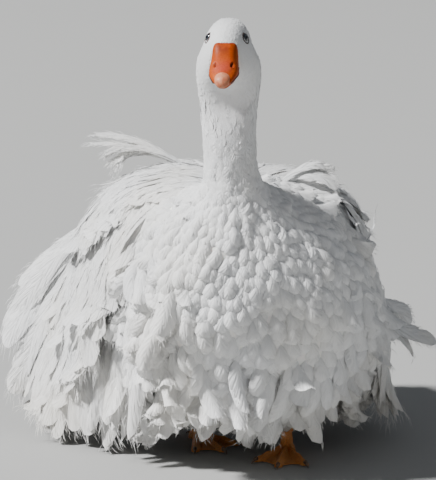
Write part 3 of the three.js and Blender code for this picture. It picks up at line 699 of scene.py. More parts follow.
class Plumage:
    """Gathers feathers for one coat piece."""

    def __init__(self, rng: np.random.Generator) -> None:
        """Starts an empty coat that draws its chances from rng."""
        self.rng = rng
        self.parts = Parts()

    def add(self, flight: Flight, vane: Vane) -> None:
        """Adds a batch of feathers.

        The shaft follows the base path, lifted by the integral of sin(pitch) and moved
        aside by that of sin(yaw), with pitch = 2 * rise / length * (1 - x) + tuck and
        yaw = sway * x. The vane spreads square to the shaft, its edges bent down by
        cup * half width and swept forwards, and its two faces meet at the edges.

        Args:
            flight: Paths and stances.
            vane: The cut.
        """
        n = len(flight.base)
        if n == 0:
            return
        x = vane.shares()
        length = flight.length[:, None]
        pitch = 2 * (flight.rise / flight.length)[:, None] * (1 - x)
        pitch = pitch + flight.tuck[:, None] * smoothstep(0.4, 1.0, x)
        yaw = flight.sway[:, None] * x
        ahead_gain = running_sum(np.cos(pitch) * np.cos(yaw), x) - x
        side_gain = running_sum(np.cos(pitch) * np.sin(yaw), x)
        height_gain = running_sum(np.sin(pitch), x)
        heading = unit(np.gradient(flight.base, axis=1))
        normal = unit(flight.normal - heading * (flight.normal * heading).sum(-1, keepdims=True))
        aside = np.cross(normal, heading)
        shaft = flight.base + heading * (ahead_gain * length)[..., None]
        shaft = shaft + aside * (side_gain * length)[..., None]
        shaft = shaft + normal * (height_gain * length)[..., None]
        ahead = unit(np.gradient(shaft, axis=1))
        face = normal * np.cos(pitch)[..., None] - heading * np.sin(pitch)[..., None]
        spread = unit(np.cross(face, ahead))
        face = np.cross(ahead, spread)
        roll = (flight.twist[:, None] * x)[..., None]
        spread, face = (
            spread * np.cos(roll) + face * np.sin(roll), face * np.cos(roll) - spread * np.sin(roll),
        )
        half = flight.width[:, None] / 2 * vane.outline(x)
        shafts = Shafts(x, shaft, ahead, spread, face, half)
        self._add_vanes(flight, vane, shafts)
        if vane.barbs:
            self._add_barbs(flight, vane, shafts)

    def _add_vanes(self, flight: Flight, vane: Vane, shafts: Shafts) -> None:
        """Adds the two faces of every vane."""
        x, shaft, ahead, spread, face, half = shafts
        n, k = len(shaft), vane.columns
        c = np.linspace(-1, 1, k)
        edge_noise = self.rng.uniform(-1, 1, (n, vane.rows, 2)) * vane.ragged
        side_noise = np.where(c < 0, edge_noise[..., :1], edge_noise[..., 1:])
        reach = half[..., None] * c * (1 + side_noise * c * c)
        droop = -vane.cup * half[..., None] * c * c
        forward = vane.sweep * half[..., None] * np.abs(c) * (1 + 2 * side_noise)
        middle = shaft[:, :, None] + spread[:, :, None] * reach[..., None]
        middle = middle + face[:, :, None] * droop[..., None] + ahead[:, :, None] * forward[..., None]
        puff = (vane.thickness / 2 * (1 - c * c))[:, None] * face[:, :, None]
        upper, lower = middle + puff, middle - puff
        inner = slice(1, k - 1)
        rows = slice(1, vane.rows - 1)
        points = np.concatenate(
            [
                shaft[:, :1], shaft[:, -1:], upper[:, rows].reshape(n, -1, 3),
                lower[:, rows, inner].reshape(n, -1, 3),
            ], axis=1,
        )
        own = unit(face[:, :, None] + spread[:, :, None] * (2 * vane.cup * c)[:, None])
        lean = unit(own * (1 - vane.softness) + flight.normal[:, :, None] * vane.softness)
        leans = np.concatenate(
            [
                lean[:, :1, k // 2], lean[:, -1:, k // 2], lean[:, rows].reshape(n, -1, 3),
                lean[:, rows, inner].reshape(n, -1, 3),
            ], axis=1,
        )
        local = np.stack(np.broadcast_arrays(c, x[:, None]), axis=-1)
        ends = np.array([[0.0, 0.0], [0.0, 1.0]])
        local = np.vstack([ends, local[rows].reshape(-1, 2), local[rows, inner].reshape(-1, 2)])
        size = local.shape[0]
        share = local[:, 1]
        across = local[:, 0] * np.interp(share, x, vane.outline(x))
        vanes = np.stack(
            [
                across * flight.width[:, None] / 2 / MM,
                share * flight.length[:, None] / MM + self.rng.uniform(0, 90, (n, 1)),
            ], axis=-1,
        )
        shift = local * [0.5 * PATCH, PATCH]
        places = flight.places[:, None] + shift
        tone = self.rng.uniform(0, 1, (n, 1)) * np.ones((1, size))
        tones = np.stack([tone, np.broadcast_to(share, (n, size)), np.zeros((n, size))], axis=-1)
        quads, triangles = vane.faces()
        first = (np.arange(n) * size)[:, None, None]
        self.parts.add(
            kept_in(points.reshape(-1, 3)),
            (quads + first).reshape(-1, 4),
            (triangles + first).reshape(-1, 3),
            places.reshape(-1, 2), vanes.reshape(-1, 2), tones.reshape(-1, 3), leans.reshape(-1, 3),
        )

    def _add_barbs(self, flight: Flight, vane: Vane, shafts: Shafts) -> None:
        """Adds the loose barbs: three-sided slivers, pointed at both ends and thickest at
        their bend, rooted along the vane's edges and over its face and pointing forwards
        and aside."""
        _, shaft, ahead, spread, face, half = shafts
        n, b = len(shaft), vane.barbs
        rng = self.rng
        share = 1 - rng.uniform(0, 0.72, (n, b)) ** 1.25
        side = np.where(rng.random((n, b)) < 0.5, -1.0, 1.0)
        row = np.clip(vane.row_of(np.minimum(share, 0.985)), 0, vane.rows - 1.001)
        low = row.astype(int)
        part = (row - low)[..., None]
        pick = np.arange(n)[:, None]

        def between(values: Array) -> Array:
            """Values read at the barbs' rows."""
            return values[pick, low] * (1 - part) + values[pick, low + 1] * part

        at, fore, out, top = between(shaft), unit(between(ahead)), unit(between(spread)), between(face)
        reach = between(half[..., None])
        edge = rng.random((n, b)) < vane.edge_share
        apart = np.where(edge, 0.92, rng.uniform(0.0, 0.9, (n, b)))[..., None]
        start = at + out * reach * side[..., None] * apart - top * reach * vane.cup * apart ** 2
        start = start + fore * reach * vane.sweep * apart + top * vane.thickness * 0.3
        angle = rng.uniform(*vane.barb_angle, (n, b)) * (0.4 + 0.6 * apart[..., 0])
        angle = angle[..., None] * side[..., None]
        lift = np.where(edge, rng.normal(-0.1, 0.2, (n, b)), rng.normal(0.08, 0.1, (n, b)))[..., None]
        first_way = unit(fore * np.cos(angle) + out * np.sin(angle) + top * lift)
        later_way = unit(fore * np.cos(angle * 0.4) + out * np.sin(angle * 0.4) + top * (lift - 0.3))
        span = (flight.length[:, None] * vane.barb_length * rng.uniform(0.4, 1.4, (n, b)))[..., None]
        bend = start + first_way * span * 0.5
        tip = bend + later_way * span * 0.5
        flank = unit(np.cross(first_way, top))
        thick = vane.barb_width
        corners = [bend + flank * thick, bend - flank * thick, bend + top * thick, start, tip]
        points = np.stack(corners, axis=2)
        first = (np.arange(n * b) * SLIVER_CORNERS)[:, None, None]
        local = np.array([[0, 0.5], [0.8, 0.5], [0.4, 0.5], [0.4, 0], [0.4, 1]])
        places = flight.places[:, None, None] + local * PATCH
        places = np.broadcast_to(places, (n, b, SLIVER_CORNERS, 2))
        across = np.broadcast_to(reach * side[..., None] / MM, (n, b, SLIVER_CORNERS))
        along = share[..., None] * flight.length[:, None, None] / MM + local[:, 1] * 3
        vanes = np.stack([across, along], axis=-1)
        tone = rng.uniform(0, 1, (n, b, 1)) * np.ones(SLIVER_CORNERS)
        level = np.broadcast_to(share[..., None], tone.shape)
        tones = np.stack([tone, level, np.ones(tone.shape)], axis=-1)
        lean = unit(top * (1 - vane.softness) + between(flight.normal) * vane.softness)
        leans = np.broadcast_to(lean[:, :, None], points.shape)
        self.parts.add(
            kept_in(points.reshape(-1, 3)), None,
            (SLIVER_FACES + first).reshape(-1, 3),
            places.reshape(-1, 2), vanes.reshape(-1, 2), tones.reshape(-1, 3), leans.reshape(-1, 3),
        )

    def build(self, name: str) -> bpy.types.Object:
        """Makes the coat piece."""
        piece = self.parts.build(name)
        log.info("%s: %d triangles", name, self.parts.triangle_count())
        return piece


SLOWEST_PACE = 0.35
ROW_SAMPLES = 241
FAST_PERCENTILE = 97
ROOT_SURPLUS = 1.08
LENGTH_ROUNDS = 3
CREEP = 1e-6


@dataclass
class Roots:
    """Where feathers leave a sheet: u and v of each root."""

    u: Array
    v: Array

    def kept(self, keep: Array) -> "Roots":
        """Only the roots that keep says."""
        return Roots(self.u[keep], self.v[keep])


def even(space: float) -> Callable[[float], float]:
    """The same space between roots at every u."""
    return lambda u: space


def scatter(
    sheet: Sheet, u_range: tuple[float, float], v_range: tuple[float, float],
    along: Callable[[float], float], across: Callable[[float], float], rng: np.random.Generator,
    jitter: float = 0.3,
) -> Roots:
    """Roots in staggered rows, with a little disorder.

    Each row crosses the sheet at one u. Its roots are evenly spaced by arc length and
    shifted by half a space on every other row. Where rows crowd together, roots are left
    out in the same measure.

    Args:
        sheet: What the feathers grow on.
        u_range: First and last row.
        v_range: Where a row starts and ends.
        along: Space between rows at u, in metres.
        across: Space between roots at u, in metres.
        rng: Source of chance.
        jitter: Disorder as a share of the spaces.

    Returns:
        The roots.
    """
    rows_u, rows_v = [], []
    samples = np.linspace(*v_range, ROW_SAMPLES)
    u, odd = u_range[0], 0
    while u < u_range[1]:
        line = sheet.point(np.full_like(samples, u), samples)
        steps = np.linalg.norm(np.diff(line, axis=0), axis=1)
        reached = np.concatenate([[0], np.cumsum(steps)])
        pace = np.linalg.norm(sheet.slopes(np.full_like(samples, u), samples)[0], axis=1)
        fastest = np.percentile(pace, FAST_PERCENTILE)
        count = max(3, round(reached[-1] / across(u)))
        shares = (np.arange(count) + 0.5 * odd + jitter * rng.uniform(-0.5, 0.5, count)) / count
        v = np.interp(np.mod(shares, 1.0) * reached[-1], reached, samples)
        local_pace = np.interp(v, samples, pace)
        keep = rng.random(count) < ROOT_SURPLUS * local_pace / fastest
        step = along(u) / fastest
        shake = jitter * rng.uniform(-0.5, 0.5, count) * along(u) / np.maximum(local_pace, 1e-4)
        shake = np.clip(shake, -step, step)
        rows_u.append((u + shake)[keep])
        rows_v.append(v[keep])
        u += step
        odd = 1 - odd
    return Roots(np.concatenate(rows_u), np.concatenate(rows_v))


def path_on(
    sheet: Sheet, roots: Roots, heading: Array, length: Array, shares: Array, depth: Array,
    u_limits: tuple[float, float],
) -> tuple[Array, Array]:
    """Paths over a sheet, straight in its parameters.

    u grows by cos(heading) * length / |d/du| over the whole path, and v by
    sin(heading) * length / |d/dv|. Where the sheet widens or narrows on the way, both are
    corrected until the path has its length.

    Args:
        sheet: The sheet.
        roots: Where the paths start.
        heading: Angle from the way that u grows towards the way that v grows.
        length: Length of each path.
        shares: Where points are wanted along a path.
        depth: How far under the sheet each path lies.
        u_limits: The paths stay between these.

    Returns:
        Points and outward normals, each (n, rows, 3).
    """
    along, across = sheet.slopes(roots.u, roots.v, depth)
    pace_u, pace_v = np.linalg.norm(along, axis=1), np.linalg.norm(across, axis=1)
    gain_u = np.cos(heading) * length / np.maximum(pace_u, SLOWEST_PACE * np.median(pace_u))
    gain_v = np.sin(heading) * length / np.maximum(pace_v, SLOWEST_PACE * np.median(pace_v))
    for _ in range(LENGTH_ROUNDS):
        u = np.clip(roots.u[:, None] + gain_u[:, None] * shares, *u_limits)
        v = roots.v[:, None] + gain_v[:, None] * shares
        deep = np.broadcast_to(np.asarray(depth)[:, None], u.shape)
        points = sheet.point(u, v, deep)
        reached = np.linalg.norm(np.diff(points, axis=1), axis=-1).sum(1)
        mended = np.clip(length / np.maximum(reached, 1e-5), 0.3, 1.25)
        gain_u, gain_v = gain_u * mended, gain_v * mended
    # Where a path has reached the limit it creeps on, so that its heading stays defined.
    creep = np.arange(len(shares)) * CREEP
    points = points + unit(along)[:, None] * creep[:, None]
    return points, sheet.outward(u, v, deep)


# ------------------------------------------------------------------ finishes
class Slot(Enum):
    """The record's material slots."""

    FACE = "face_feather"
    BODY = "body_feather"
    PLUME = "plume"
    BILL = "bill"
    NAIL = "nail"
    EYE = "eye"
    LEG = "leg_skin"


class Sketch:
    """A material's nodes, added one line at a time round one Principled shader."""

    def __init__(self, name: str) -> None:
        """Starts a material of that name."""
        self.material = bpy.data.materials.new(name)
        self.material.use_nodes = True
        self.tree = self.material.node_tree
        self.shader = self.tree.nodes["Principled BSDF"]

    def node(self, kind: str, settings: dict | None = None, **inputs) -> bpy.types.Node:
        """A new node.

        Args:
            kind: Its type, without the ShaderNode in front.
            settings: Properties of the node itself.
            **inputs: Values or sockets for its inputs, with _ for a space, or i0, i1 ... for
                an input by number.

        Returns:
            The node.
        """
        made = self.tree.nodes.new("ShaderNode" + kind)
        for key, value in (settings or {}).items():
            setattr(made, key, value)
        for key, value in inputs.items():
            by_number = key[0] == "i" and key[1:].isdigit()
            socket = made.inputs[int(key[1:])] if by_number else made.inputs[key.replace("_", " ")]
            self.feed(socket, value)
        return made

    def feed(self, socket: bpy.types.NodeSocket, value) -> None:
        """Sets a socket to a value, or links another socket to it."""
        if isinstance(value, bpy.types.NodeSocket):
            self.tree.links.new(value, socket)
        else:
            socket.default_value = value

    def shade(self, **inputs) -> None:
        """Sets or links the shader's own sockets, with _ for a space in their names."""
        for key, value in inputs.items():
            self.feed(self.shader.inputs[key.replace("_", " ")], value)

    def math(self, operation: str, first, second=0.0) -> bpy.types.NodeSocket:
        """A sum, product or other operation on numbers."""
        return self.node("Math", {"operation": operation}, i0=first, i1=second).outputs[0]

    def mix(self, factor, first, second) -> bpy.types.NodeSocket:
        """A blend of two colours."""
        made = self.node("Mix", {"data_type": "RGBA"}, i0=factor, i6=first, i7=second)
        return made.outputs[2]

    def ramp(self, value, low: float, high: float) -> bpy.types.NodeSocket:
        """A smooth rise from 0 at low to 1 at high."""
        settings = {"interpolation_type": "SMOOTHSTEP"}
        return self.node("MapRange", settings, Value=value, From_Min=low, From_Max=high).outputs[0]

    def place(self) -> bpy.types.NodeSocket:
        """Object coordinates, in metres."""
        return self.node("TexCoord").outputs["Object"]

    def axes(self, vector) -> bpy.types.NodeSocketCollection:
        """The three numbers of a vector."""
        return self.node("SeparateXYZ", Vector=vector).outputs

    def noise(self, vector, scale: float, detail: float = 3.0, rough: float = 0.5):
        """Fractal noise, about 0.5 on average."""
        made = self.node("TexNoise", Vector=vector, Scale=scale, Detail=detail, Roughness=rough)
        return made.outputs["Fac"]

    def bump(self, height, strength: float, distance: float, below=None) -> bpy.types.NodeSocket:
        """A bumped normal, over another one if given."""
        made = self.node("Bump", Strength=strength, Distance=distance, Height=height)
        if below is not None:
            self.feed(made.inputs["Normal"], below)
        return made.outputs["Normal"]


Colour = tuple[float, float, float, float]


def colour(red: float, green: float, blue: float) -> Colour:
    """A colour with full alpha."""
    return (red, green, blue, 1.0)


@dataclass(frozen=True)
class FeatherFinish:
    """White feather: fine barbs that slant forwards from the shaft, silky or downy."""

    name: str
    bright: Colour = colour(0.87, 0.875, 0.88)
    warm: Colour = colour(0.86, 0.845, 0.81)
    shaded: Colour = colour(0.56, 0.565, 0.565)
    soiled: Colour = colour(0.66, 0.62, 0.54)
    roughness: float = 0.62
    sheen: float = 0.3
    barb_width: float = 1.1
    barb_slope: float = 0.6
    streaking: float = 0.3
    barb_bump: float = 0.5
    bump_depth: float = 0.0022
    clumping: float = 2.6
    translucence: float = 0.15
    scatter: float = 0.004

    def make(self) -> bpy.types.Material:
        """Builds the material.

        Barbs are waves of (|across| - slope * along) on the Vane map, in millimetres, so
        that they run out and forwards from the shaft, with a second, wider noise that parts
        them in clumps. Colour goes from shaded at the root to bright, with a warm drift over
        the body and a little soil low down.
        """
        s = Sketch(self.name)
        across, along, _ = s.axes(s.node("UVMap", {"uv_map": "Vane"}).outputs[0])
        aside = s.math("ABSOLUTE", across)
        run = s.math("SUBTRACT", aside, s.math("MULTIPLY", along, self.barb_slope))
        lane = s.math("DIVIDE", run, self.barb_width)
        lanes = s.node("CombineXYZ", X=lane, Y=s.math("MULTIPLY", along, 0.08))
        fine = s.noise(lanes.outputs[0], 1.0, 2.0)
        clump = s.math("DIVIDE", run, self.barb_width * self.clumping)
        clumps = s.node("CombineXYZ", X=clump, Y=s.math("MULTIPLY", along, 0.05))
        coarse = s.noise(clumps.outputs[0], 1.0, 1.0)
        tone, share, _ = s.axes(s.node("Attribute", {"attribute_name": "tone"}).outputs["Vector"])
        place = s.place()
        drift = s.noise(place, 9.0, 3.0)
        base = s.mix(s.ramp(drift, 0.42, 0.68), self.bright, self.warm)
        base = s.mix(s.math("MULTIPLY", tone, 0.35), base, self.warm)
        streaks = s.math("ADD", s.math("MULTIPLY", fine, 0.4), s.math("MULTIPLY", coarse, 0.6))
        base = s.mix(s.math("MULTIPLY", s.ramp(streaks, 0.52, 0.36), self.streaking), base, self.shaded)
        base = s.mix(s.math("MULTIPLY", s.ramp(share, 0.45, 0.0), 0.5), base, self.shaded)
        low = s.ramp(s.axes(place)[2], 0.13, 0.03)
        base = s.mix(s.math("MULTIPLY", low, s.math("MULTIPLY", drift, 0.7)), base, self.soiled)
        split = s.ramp(coarse, 0.3, 0.62)
        height = s.math("ADD", s.math("MULTIPLY", fine, 0.3), split)
        s.shade(Base_Color=base, Normal=s.bump(height, self.barb_bump, self.bump_depth))
        s.shade(Roughness=s.math("ADD", s.math("MULTIPLY", streaks, 0.2), self.roughness - 0.1))
        s.shade(Sheen_Weight=self.sheen, Sheen_Roughness=0.45, Specular_IOR_Level=0.3)
        s.shade(Subsurface_Weight=self.translucence, Subsurface_Scale=self.scatter)
        s.shade(Subsurface_Radius=(1.0, 0.97, 0.93))
        return s.material


VELVET_FINISH = FeatherFinish("velvet_feather", shaded=colour(0.80, 0.80, 0.79), barb_width=0.7,
                              barb_bump=0.1, streaking=0.08)
DOWN_FINISH = FeatherFinish("down_feather", barb_bump=0.3, streaking=0.2)
SILK_FINISH = FeatherFinish("silk_feather", roughness=0.46, barb_width=1.3, barb_slope=0.28,
                            barb_bump=0.4)


@dataclass(frozen=True)
class SkinFinish:
    """Pale downy skin, scaly orange legs and bare rims round the eyes, painted near black as the shade of the
    sockets.
    """

    name: str = "goose_skin"
    down: Colour = colour(0.90, 0.89, 0.87)
    flesh: Colour = colour(0.88, 0.84, 0.79)
    leg: Colour = colour(0.80, 0.27, 0.045)
    leg_dark: Colour = colour(0.52, 0.15, 0.03)
    leg_pale: Colour = colour(0.88, 0.45, 0.16)
    # painted shade: the lids' rims and creases are near black to stand in for the shade round the eyes
    rim: Colour = colour(0.07, 0.055, 0.05)
    leg_top: float = 0.036
    leg_fade: float = 0.006

    def make(self) -> bpy.types.Material:
        """Builds the material: scales are cells with dark joints, only on the legs."""
        s = Sketch(self.name)
        place = s.place()
        z = s.axes(place)[2]
        bare = s.ramp(z, self.leg_top, self.leg_top - self.leg_fade)
        cells = s.node("TexVoronoi", {"feature": "DISTANCE_TO_EDGE"}, Vector=place, Scale=420.0)
        joint = s.ramp(cells.outputs["Distance"], 0.0, 0.16)
        blotch = s.noise(place, 60.0, 4.0)
        leg = s.mix(blotch, self.leg, self.leg_pale)
        leg = s.mix(s.math("MULTIPLY", s.math("SUBTRACT", 1.0, joint), 0.7), leg, self.leg_dark)
        down = s.mix(s.noise(place, 300.0, 4.0), self.down, self.flesh)
        rim = s.node("Attribute", {"attribute_name": "eyelid"}).outputs["Fac"]
        # the eyelid share lays the painted shade of the sockets over the rims and creases
        base = s.mix(bare, s.mix(rim, down, self.rim), leg)
        fluff = s.noise(place, 900.0, 3.0)
        height = s.mix(bare, fluff, joint)
        s.shade(Base_Color=base, Normal=s.bump(height, 0.3, 0.0003))
        s.shade(Roughness=s.math("SUBTRACT", 0.85, s.math("MULTIPLY", bare, 0.35)))
        s.shade(Subsurface_Weight=0.1, Subsurface_Scale=0.003, Specular_IOR_Level=0.4)
        return s.material


@dataclass(frozen=True)
class BillFinish:
    """Orange horn, redder along the ridge, pinkish before the nail, with fine pits, and painted shade inside
    the nostrils.
    """

    name: str = "bill_horn"
    orange: Colour = colour(0.42, 0.056, 0.0)
    deep: Colour = colour(0.22, 0.022, 0.0)
    pink: Colour = colour(0.46, 0.06, 0.028)
    amber: Colour = colour(0.50, 0.095, 0.0)
    # painted shade: the near-black inside of the nostrils, which are only shallow dents
    nostril: Colour = colour(0.10, 0.012, 0.006)

    def make(self) -> bpy.types.Material:
        """Builds the material: the attribute zone holds pink, ridge and nostril shares; the nostrils are
        painted near black as the shade inside them.
        """
        s = Sketch(self.name)
        place = s.place()
        pink, ridge, dark = s.axes(s.node("Attribute", {"attribute_name": "zone"}).outputs["Vector"])
        mottle = s.noise(place, 110.0, 5.0, 0.6)
        fine = s.noise(place, 620.0, 3.0)
        base = s.mix(s.ramp(mottle, 0.35, 0.7), self.orange, self.amber)
        base = s.mix(s.math("MULTIPLY", ridge, s.ramp(mottle, 0.3, 0.6)), base, self.deep)
        base = s.mix(pink, base, self.pink)
        base = s.mix(s.math("MULTIPLY", s.ramp(fine, 0.6, 0.35), 0.3), base, self.deep)
        # painted shade in the nostrils
        base = s.mix(dark, base, self.nostril)
        height = s.math("ADD", fine, s.math("MULTIPLY", mottle, 0.8))
        s.shade(Base_Color=base, Normal=s.bump(height, 0.35, 0.0005))
        s.shade(Roughness=s.math("ADD", s.math("MULTIPLY", mottle, 0.25), 0.4))
        s.shade(Coat_Weight=0.03, Coat_Roughness=0.35, Specular_IOR_Level=0.2)
        s.shade(Subsurface_Weight=0.02, Subsurface_Scale=0.002)
        return s.material


@dataclass(frozen=True)
class HornFinish:
    """Smooth horn of the nail, the claws or the lamellae, streaked along the piece."""

    name: str
    light: Colour
    dark: Colour
    roughness: float = 0.35
    scale: float = 160.0
    coat: float = 0.2

    def make(self) -> bpy.types.Material:
        """Builds the material: two tones of cloudy noise and fine streaks."""
        s = Sketch(self.name)
        place = s.place()
        cloud = s.noise(place, self.scale, 4.0)
        fine = s.noise(s.node("Mapping", Vector=place, Scale=(1, 0.3, 1)).outputs[0], self.scale * 7, 3.0)
        base = s.mix(s.ramp(cloud, 0.35, 0.68), self.light, self.dark)
        s.shade(Base_Color=s.mix(s.math("MULTIPLY", fine, 0.25), base, self.dark))
        s.shade(Normal=s.bump(fine, 0.25, 0.0003), Roughness=self.roughness)
        s.shade(Coat_Weight=self.coat, Coat_Roughness=0.2, Specular_IOR_Level=0.3)
        s.shade(Subsurface_Weight=0.1, Subsurface_Scale=0.002)
        return s.material


NAIL_HORN = HornFinish("nail_horn", colour(0.64, 0.27, 0.15), colour(0.50, 0.15, 0.07), 0.5, coat=0.05)
COMB_HORN = HornFinish("comb_horn", colour(0.16, 0.05, 0.03), colour(0.06, 0.02, 0.015), 0.5)
CLAW_HORN = HornFinish("claw_horn", colour(0.30, 0.20, 0.14), colour(0.14, 0.09, 0.06), 0.4, 300.0)


@dataclass(frozen=True)
class EyeFinish:
    """A wet eye: black pupil, dark blue iris with rays, dark rim."""

    name: str = "eye_wet"
    iris: Colour = colour(0.016, 0.018, 0.024)
    pale: Colour = colour(0.035, 0.042, 0.055)
    dark: Colour = colour(0.006, 0.007, 0.009)
    pupil: float = 0.58
    limbus: float = 0.86

    def make(self) -> bpy.types.Material:
        """Builds the material from the Gaze map: x is the angle round, y the distance from
        the pupil's centre, 1 at the iris's edge."""
        s = Sketch(self.name)
        around, out, _ = s.axes(s.node("UVMap", {"uv_map": "Gaze"}).outputs[0])
        rays = s.node("CombineXYZ", X=s.math("MULTIPLY", around, 60.0), Y=s.math("MULTIPLY", out, 2.0))
        base = s.mix(s.noise(rays.outputs[0], 1.0, 3.0), self.iris, self.pale)
        base = s.mix(s.ramp(out, self.pupil + 0.03, self.pupil - 0.02), base, self.dark)
        base = s.mix(s.ramp(out, self.limbus - 0.06, self.limbus + 0.05), base, self.dark)
        s.shade(Base_Color=base, Roughness=0.08, IOR=1.4, Coat_Weight=1.0, Coat_Roughness=0.02)
        return s.material


@dataclass(frozen=True)
class FloorFinish:
    """The plain pale floor."""

    name: str = "pale_floor"
    tint: Colour = colour(0.40, 0.40, 0.39)

    def make(self) -> bpy.types.Material:
        """Builds the material: one tint with a faint cloud."""
        s = Sketch(self.name)
        cloud = s.noise(s.place(), 3.0, 2.0)
        s.shade(Base_Color=s.mix(s.math("MULTIPLY", cloud, 0.06), self.tint, colour(0.5, 0.5, 0.5)))
        s.shade(Roughness=0.9)
        return s.material


def dress(
    piece: bpy.types.Object, material: bpy.types.Material, replaced: Sequence[str] = (),
) -> bpy.types.Object:
    """Gives a piece its material and its place in the frame."""
    piece.data.materials.append(material)
    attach(piece, "root")
    if replaced:
        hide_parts(*replaced)
    log.info("%s: %d faces", piece.name, len(piece.data.polygons))
    return piece


# ------------------------------------------------------------------ eyes
@dataclass
class Eyes:
    """Both eyes, and the lids that the skin folds round them. Millimetres."""

    form: GooseForm
    side: float = 17.4
    y: float = -176.5
    z: float = 513.0
    radius: float = 6.2
    gaze: tuple[float, float, float] = (0.93, -0.34, 0.12)
    opening: tuple[float, float] = (6.0, 5.0)
    lid_height: float = 1.9
    crease_depth: float = 0.6
    socket_depth: float = 4.2
    bare_ring: float = 1.42
    iris_angle: float = 0.85
    beyond: float = 9.0

    def centre(self, side: int) -> Array:
        """The middle of one eyeball."""
        return self.form.head_point(self.form.neck_axis[0] / MM + side * self.side, self.y, self.z)

    def axes(self, side: int) -> tuple[Array, Array, Array]:
        """Where one eye looks, and the two directions across it, forwards and up."""
        gaze = self.form.head_direction(side * self.gaze[0], self.gaze[1], self.gaze[2])
        fore = unit(np.cross(UP, gaze)) * -side
        return gaze, fore, np.cross(gaze, fore) * side * -1

    def measure(self, points: Array, side: int) -> tuple[Array, Array]:
        """How far points are from the eye's axis, 1 at the lids' edge, and how far ahead.

        Args:
            points: (n, 3) points.
            side: 1 for the left eye, -1 for the right.

        Returns:
            Elliptic distance from the axis, pinched to corners fore and aft, and the
            distance along the gaze.
        """
        gaze, fore, up = self.axes(side)
        away = points - self.centre(side)
        p = away @ fore / (self.opening[0] * MM)
        q = away @ up / (self.opening[1] * MM)
        pinch = 1 + 0.35 * np.minimum(np.abs(p), 1.6) ** 2
        return np.hypot(p, q * pinch ** 0.5), away @ gaze

    def fold(self, points: Array) -> Array:
        """Skin pushed in behind each eyeball and raised in a rim round it."""
        out = points.copy()
        for side in (1, -1):
            ring, ahead = self.measure(points, side)
            near = smoothstep(20 * MM, 14 * MM, np.linalg.norm(points - self.centre(side), axis=-1))
            near = near * (ahead > -4 * MM)
            rim = self.lid_height * np.exp(-(((ring - 1.16) / 0.2) ** 2))
            crease = -self.crease_depth * np.exp(-(((ring - 1.8) / 0.3) ** 2))
            hollow = -self.socket_depth * (1 - smoothstep(0.8, 1.02, ring))
            push = (rim + crease + hollow) * MM * near
            out += self.axes(side)[0] * push[..., None]
        return out

    def lid_share(self, points: Array) -> Array:
        """1 on the bare rims of the lids, falling to 0 outside them."""
        shares = []
        for side in (1, -1):
            ring, ahead = self.measure(points, side)
            shares.append((1 - smoothstep(1.25, 1.7, ring)) * (ahead > -5 * MM) * (ahead < 12 * MM))
        return np.maximum(*shares)

    def clear(self, points: Array) -> Array:
        """Whether points are far enough from the eyes for feathers to grow."""
        rings = []
        for side in (1, -1):
            ring, ahead = self.measure(points, side)
            rings.append(np.where(ahead > -6 * MM, ring, self.beyond))
        return np.minimum(*rings) > self.bare_ring

    def ball(self, side: int) -> bpy.types.Object:
        """One eyeball: rings about the gaze, radius * (1 + 0.08 * exp(-(angle / 0.55)^2))."""
        gaze, fore, up = self.axes(side)
        polar = np.linspace(0.02, np.pi - 0.02, 40)[:, None]
        around = np.linspace(0, 2 * np.pi, 48, endpoint=False)[None, :]
        reach = self.radius * MM * (1 + 0.08 * np.exp(-((polar / 0.55) ** 2)))
        across = reach * np.sin(polar)
        rings = (reach * np.cos(polar))[..., None] * gaze + (across * np.cos(around))[..., None] * fore
        rings = self.centre(side) + rings + (across * np.sin(around))[..., None] * up
        piece = grid_piece("eye_left_ball" if side > 0 else "eye_right_ball", [rings])
        self._map_gaze(piece, side)
        return piece

    def _map_gaze(self, piece: bpy.types.Object, side: int) -> None:
        """Writes the Gaze map: angle round the axis and distance from it."""
        mesh = piece.data
        away = read(mesh.vertices, "co", 3, float) - self.centre(side)
        gaze, fore, up = self.axes(side)
        around = np.arctan2(away @ up, away @ fore) / (2 * np.pi)
        tilt = np.arccos(np.clip(unit(away) @ gaze, -1, 1))
        corners = read(mesh.loops, "vertex_index", 1, np.int32)[:, 0]
        gazes = np.stack([np.abs(around) * 2, tilt / self.iris_angle], axis=-1)
        layer = mesh.uv_layers.new(name="Gaze")
        layer.data.foreach_set("uv", gazes[corners].ravel())

    def build(self) -> None:
        """Makes both eyes."""
        material = EyeFinish().make()
        for side, node in ((1, "eye_left"), (-1, "eye_right")):
            dress(self.ball(side), material, [node])


# ------------------------------------------------------------------ bill
@dataclass(frozen=True)
class BillStation:
    """One section of the bill before the head is turned, in millimetres: its top and bottom
    in the side view (y, z), half width, level of the widest point and roundness."""

    top: tuple[float, float]
    bottom: tuple[float, float]
    half: float
    wide: float
    round: float


UPPER_BILL = (
    BillStation((-194.0, 511.5), (-184.0, 480.0), 14.4, 0.2, 5.0),
    BillStation((-203.0, 510.5), (-191.0, 480.0), 14.6, 0.2, 4.6),
    BillStation((-213.0, 500.5), (-203.0, 478.0), 15.4, 0.2, 3.4),
    BillStation((-225.0, 491.5), (-219.0, 476.5), 16.4, 0.22, 2.6),
    BillStation((-236.0, 484.0), (-233.0, 473.5), 13.6, 0.3, 2.1),
    BillStation((-244.0, 478.5), (-242.5, 469.5), 9.6, 0.38, 2.0),
    BillStation((-248.0, 474.0), (-247.5, 468.0), 5.0, 0.45, 2.0),
)
LOWER_BILL = (
    BillStation((-184.0, 482.0), (-182.0, 474.0), 14.0, 0.6, 2.4),
    BillStation((-190.0, 481.0), (-188.5, 474.0), 14.5, 0.6, 2.4),
    BillStation((-203.0, 479.0), (-201.0, 467.5), 13.0, 0.6, 2.4),
    BillStation((-221.0, 476.0), (-219.0, 466.0), 11.4, 0.6, 2.4),
    BillStation((-238.0, 472.8), (-236.0, 464.5), 7.0, 0.6, 2.2),
)


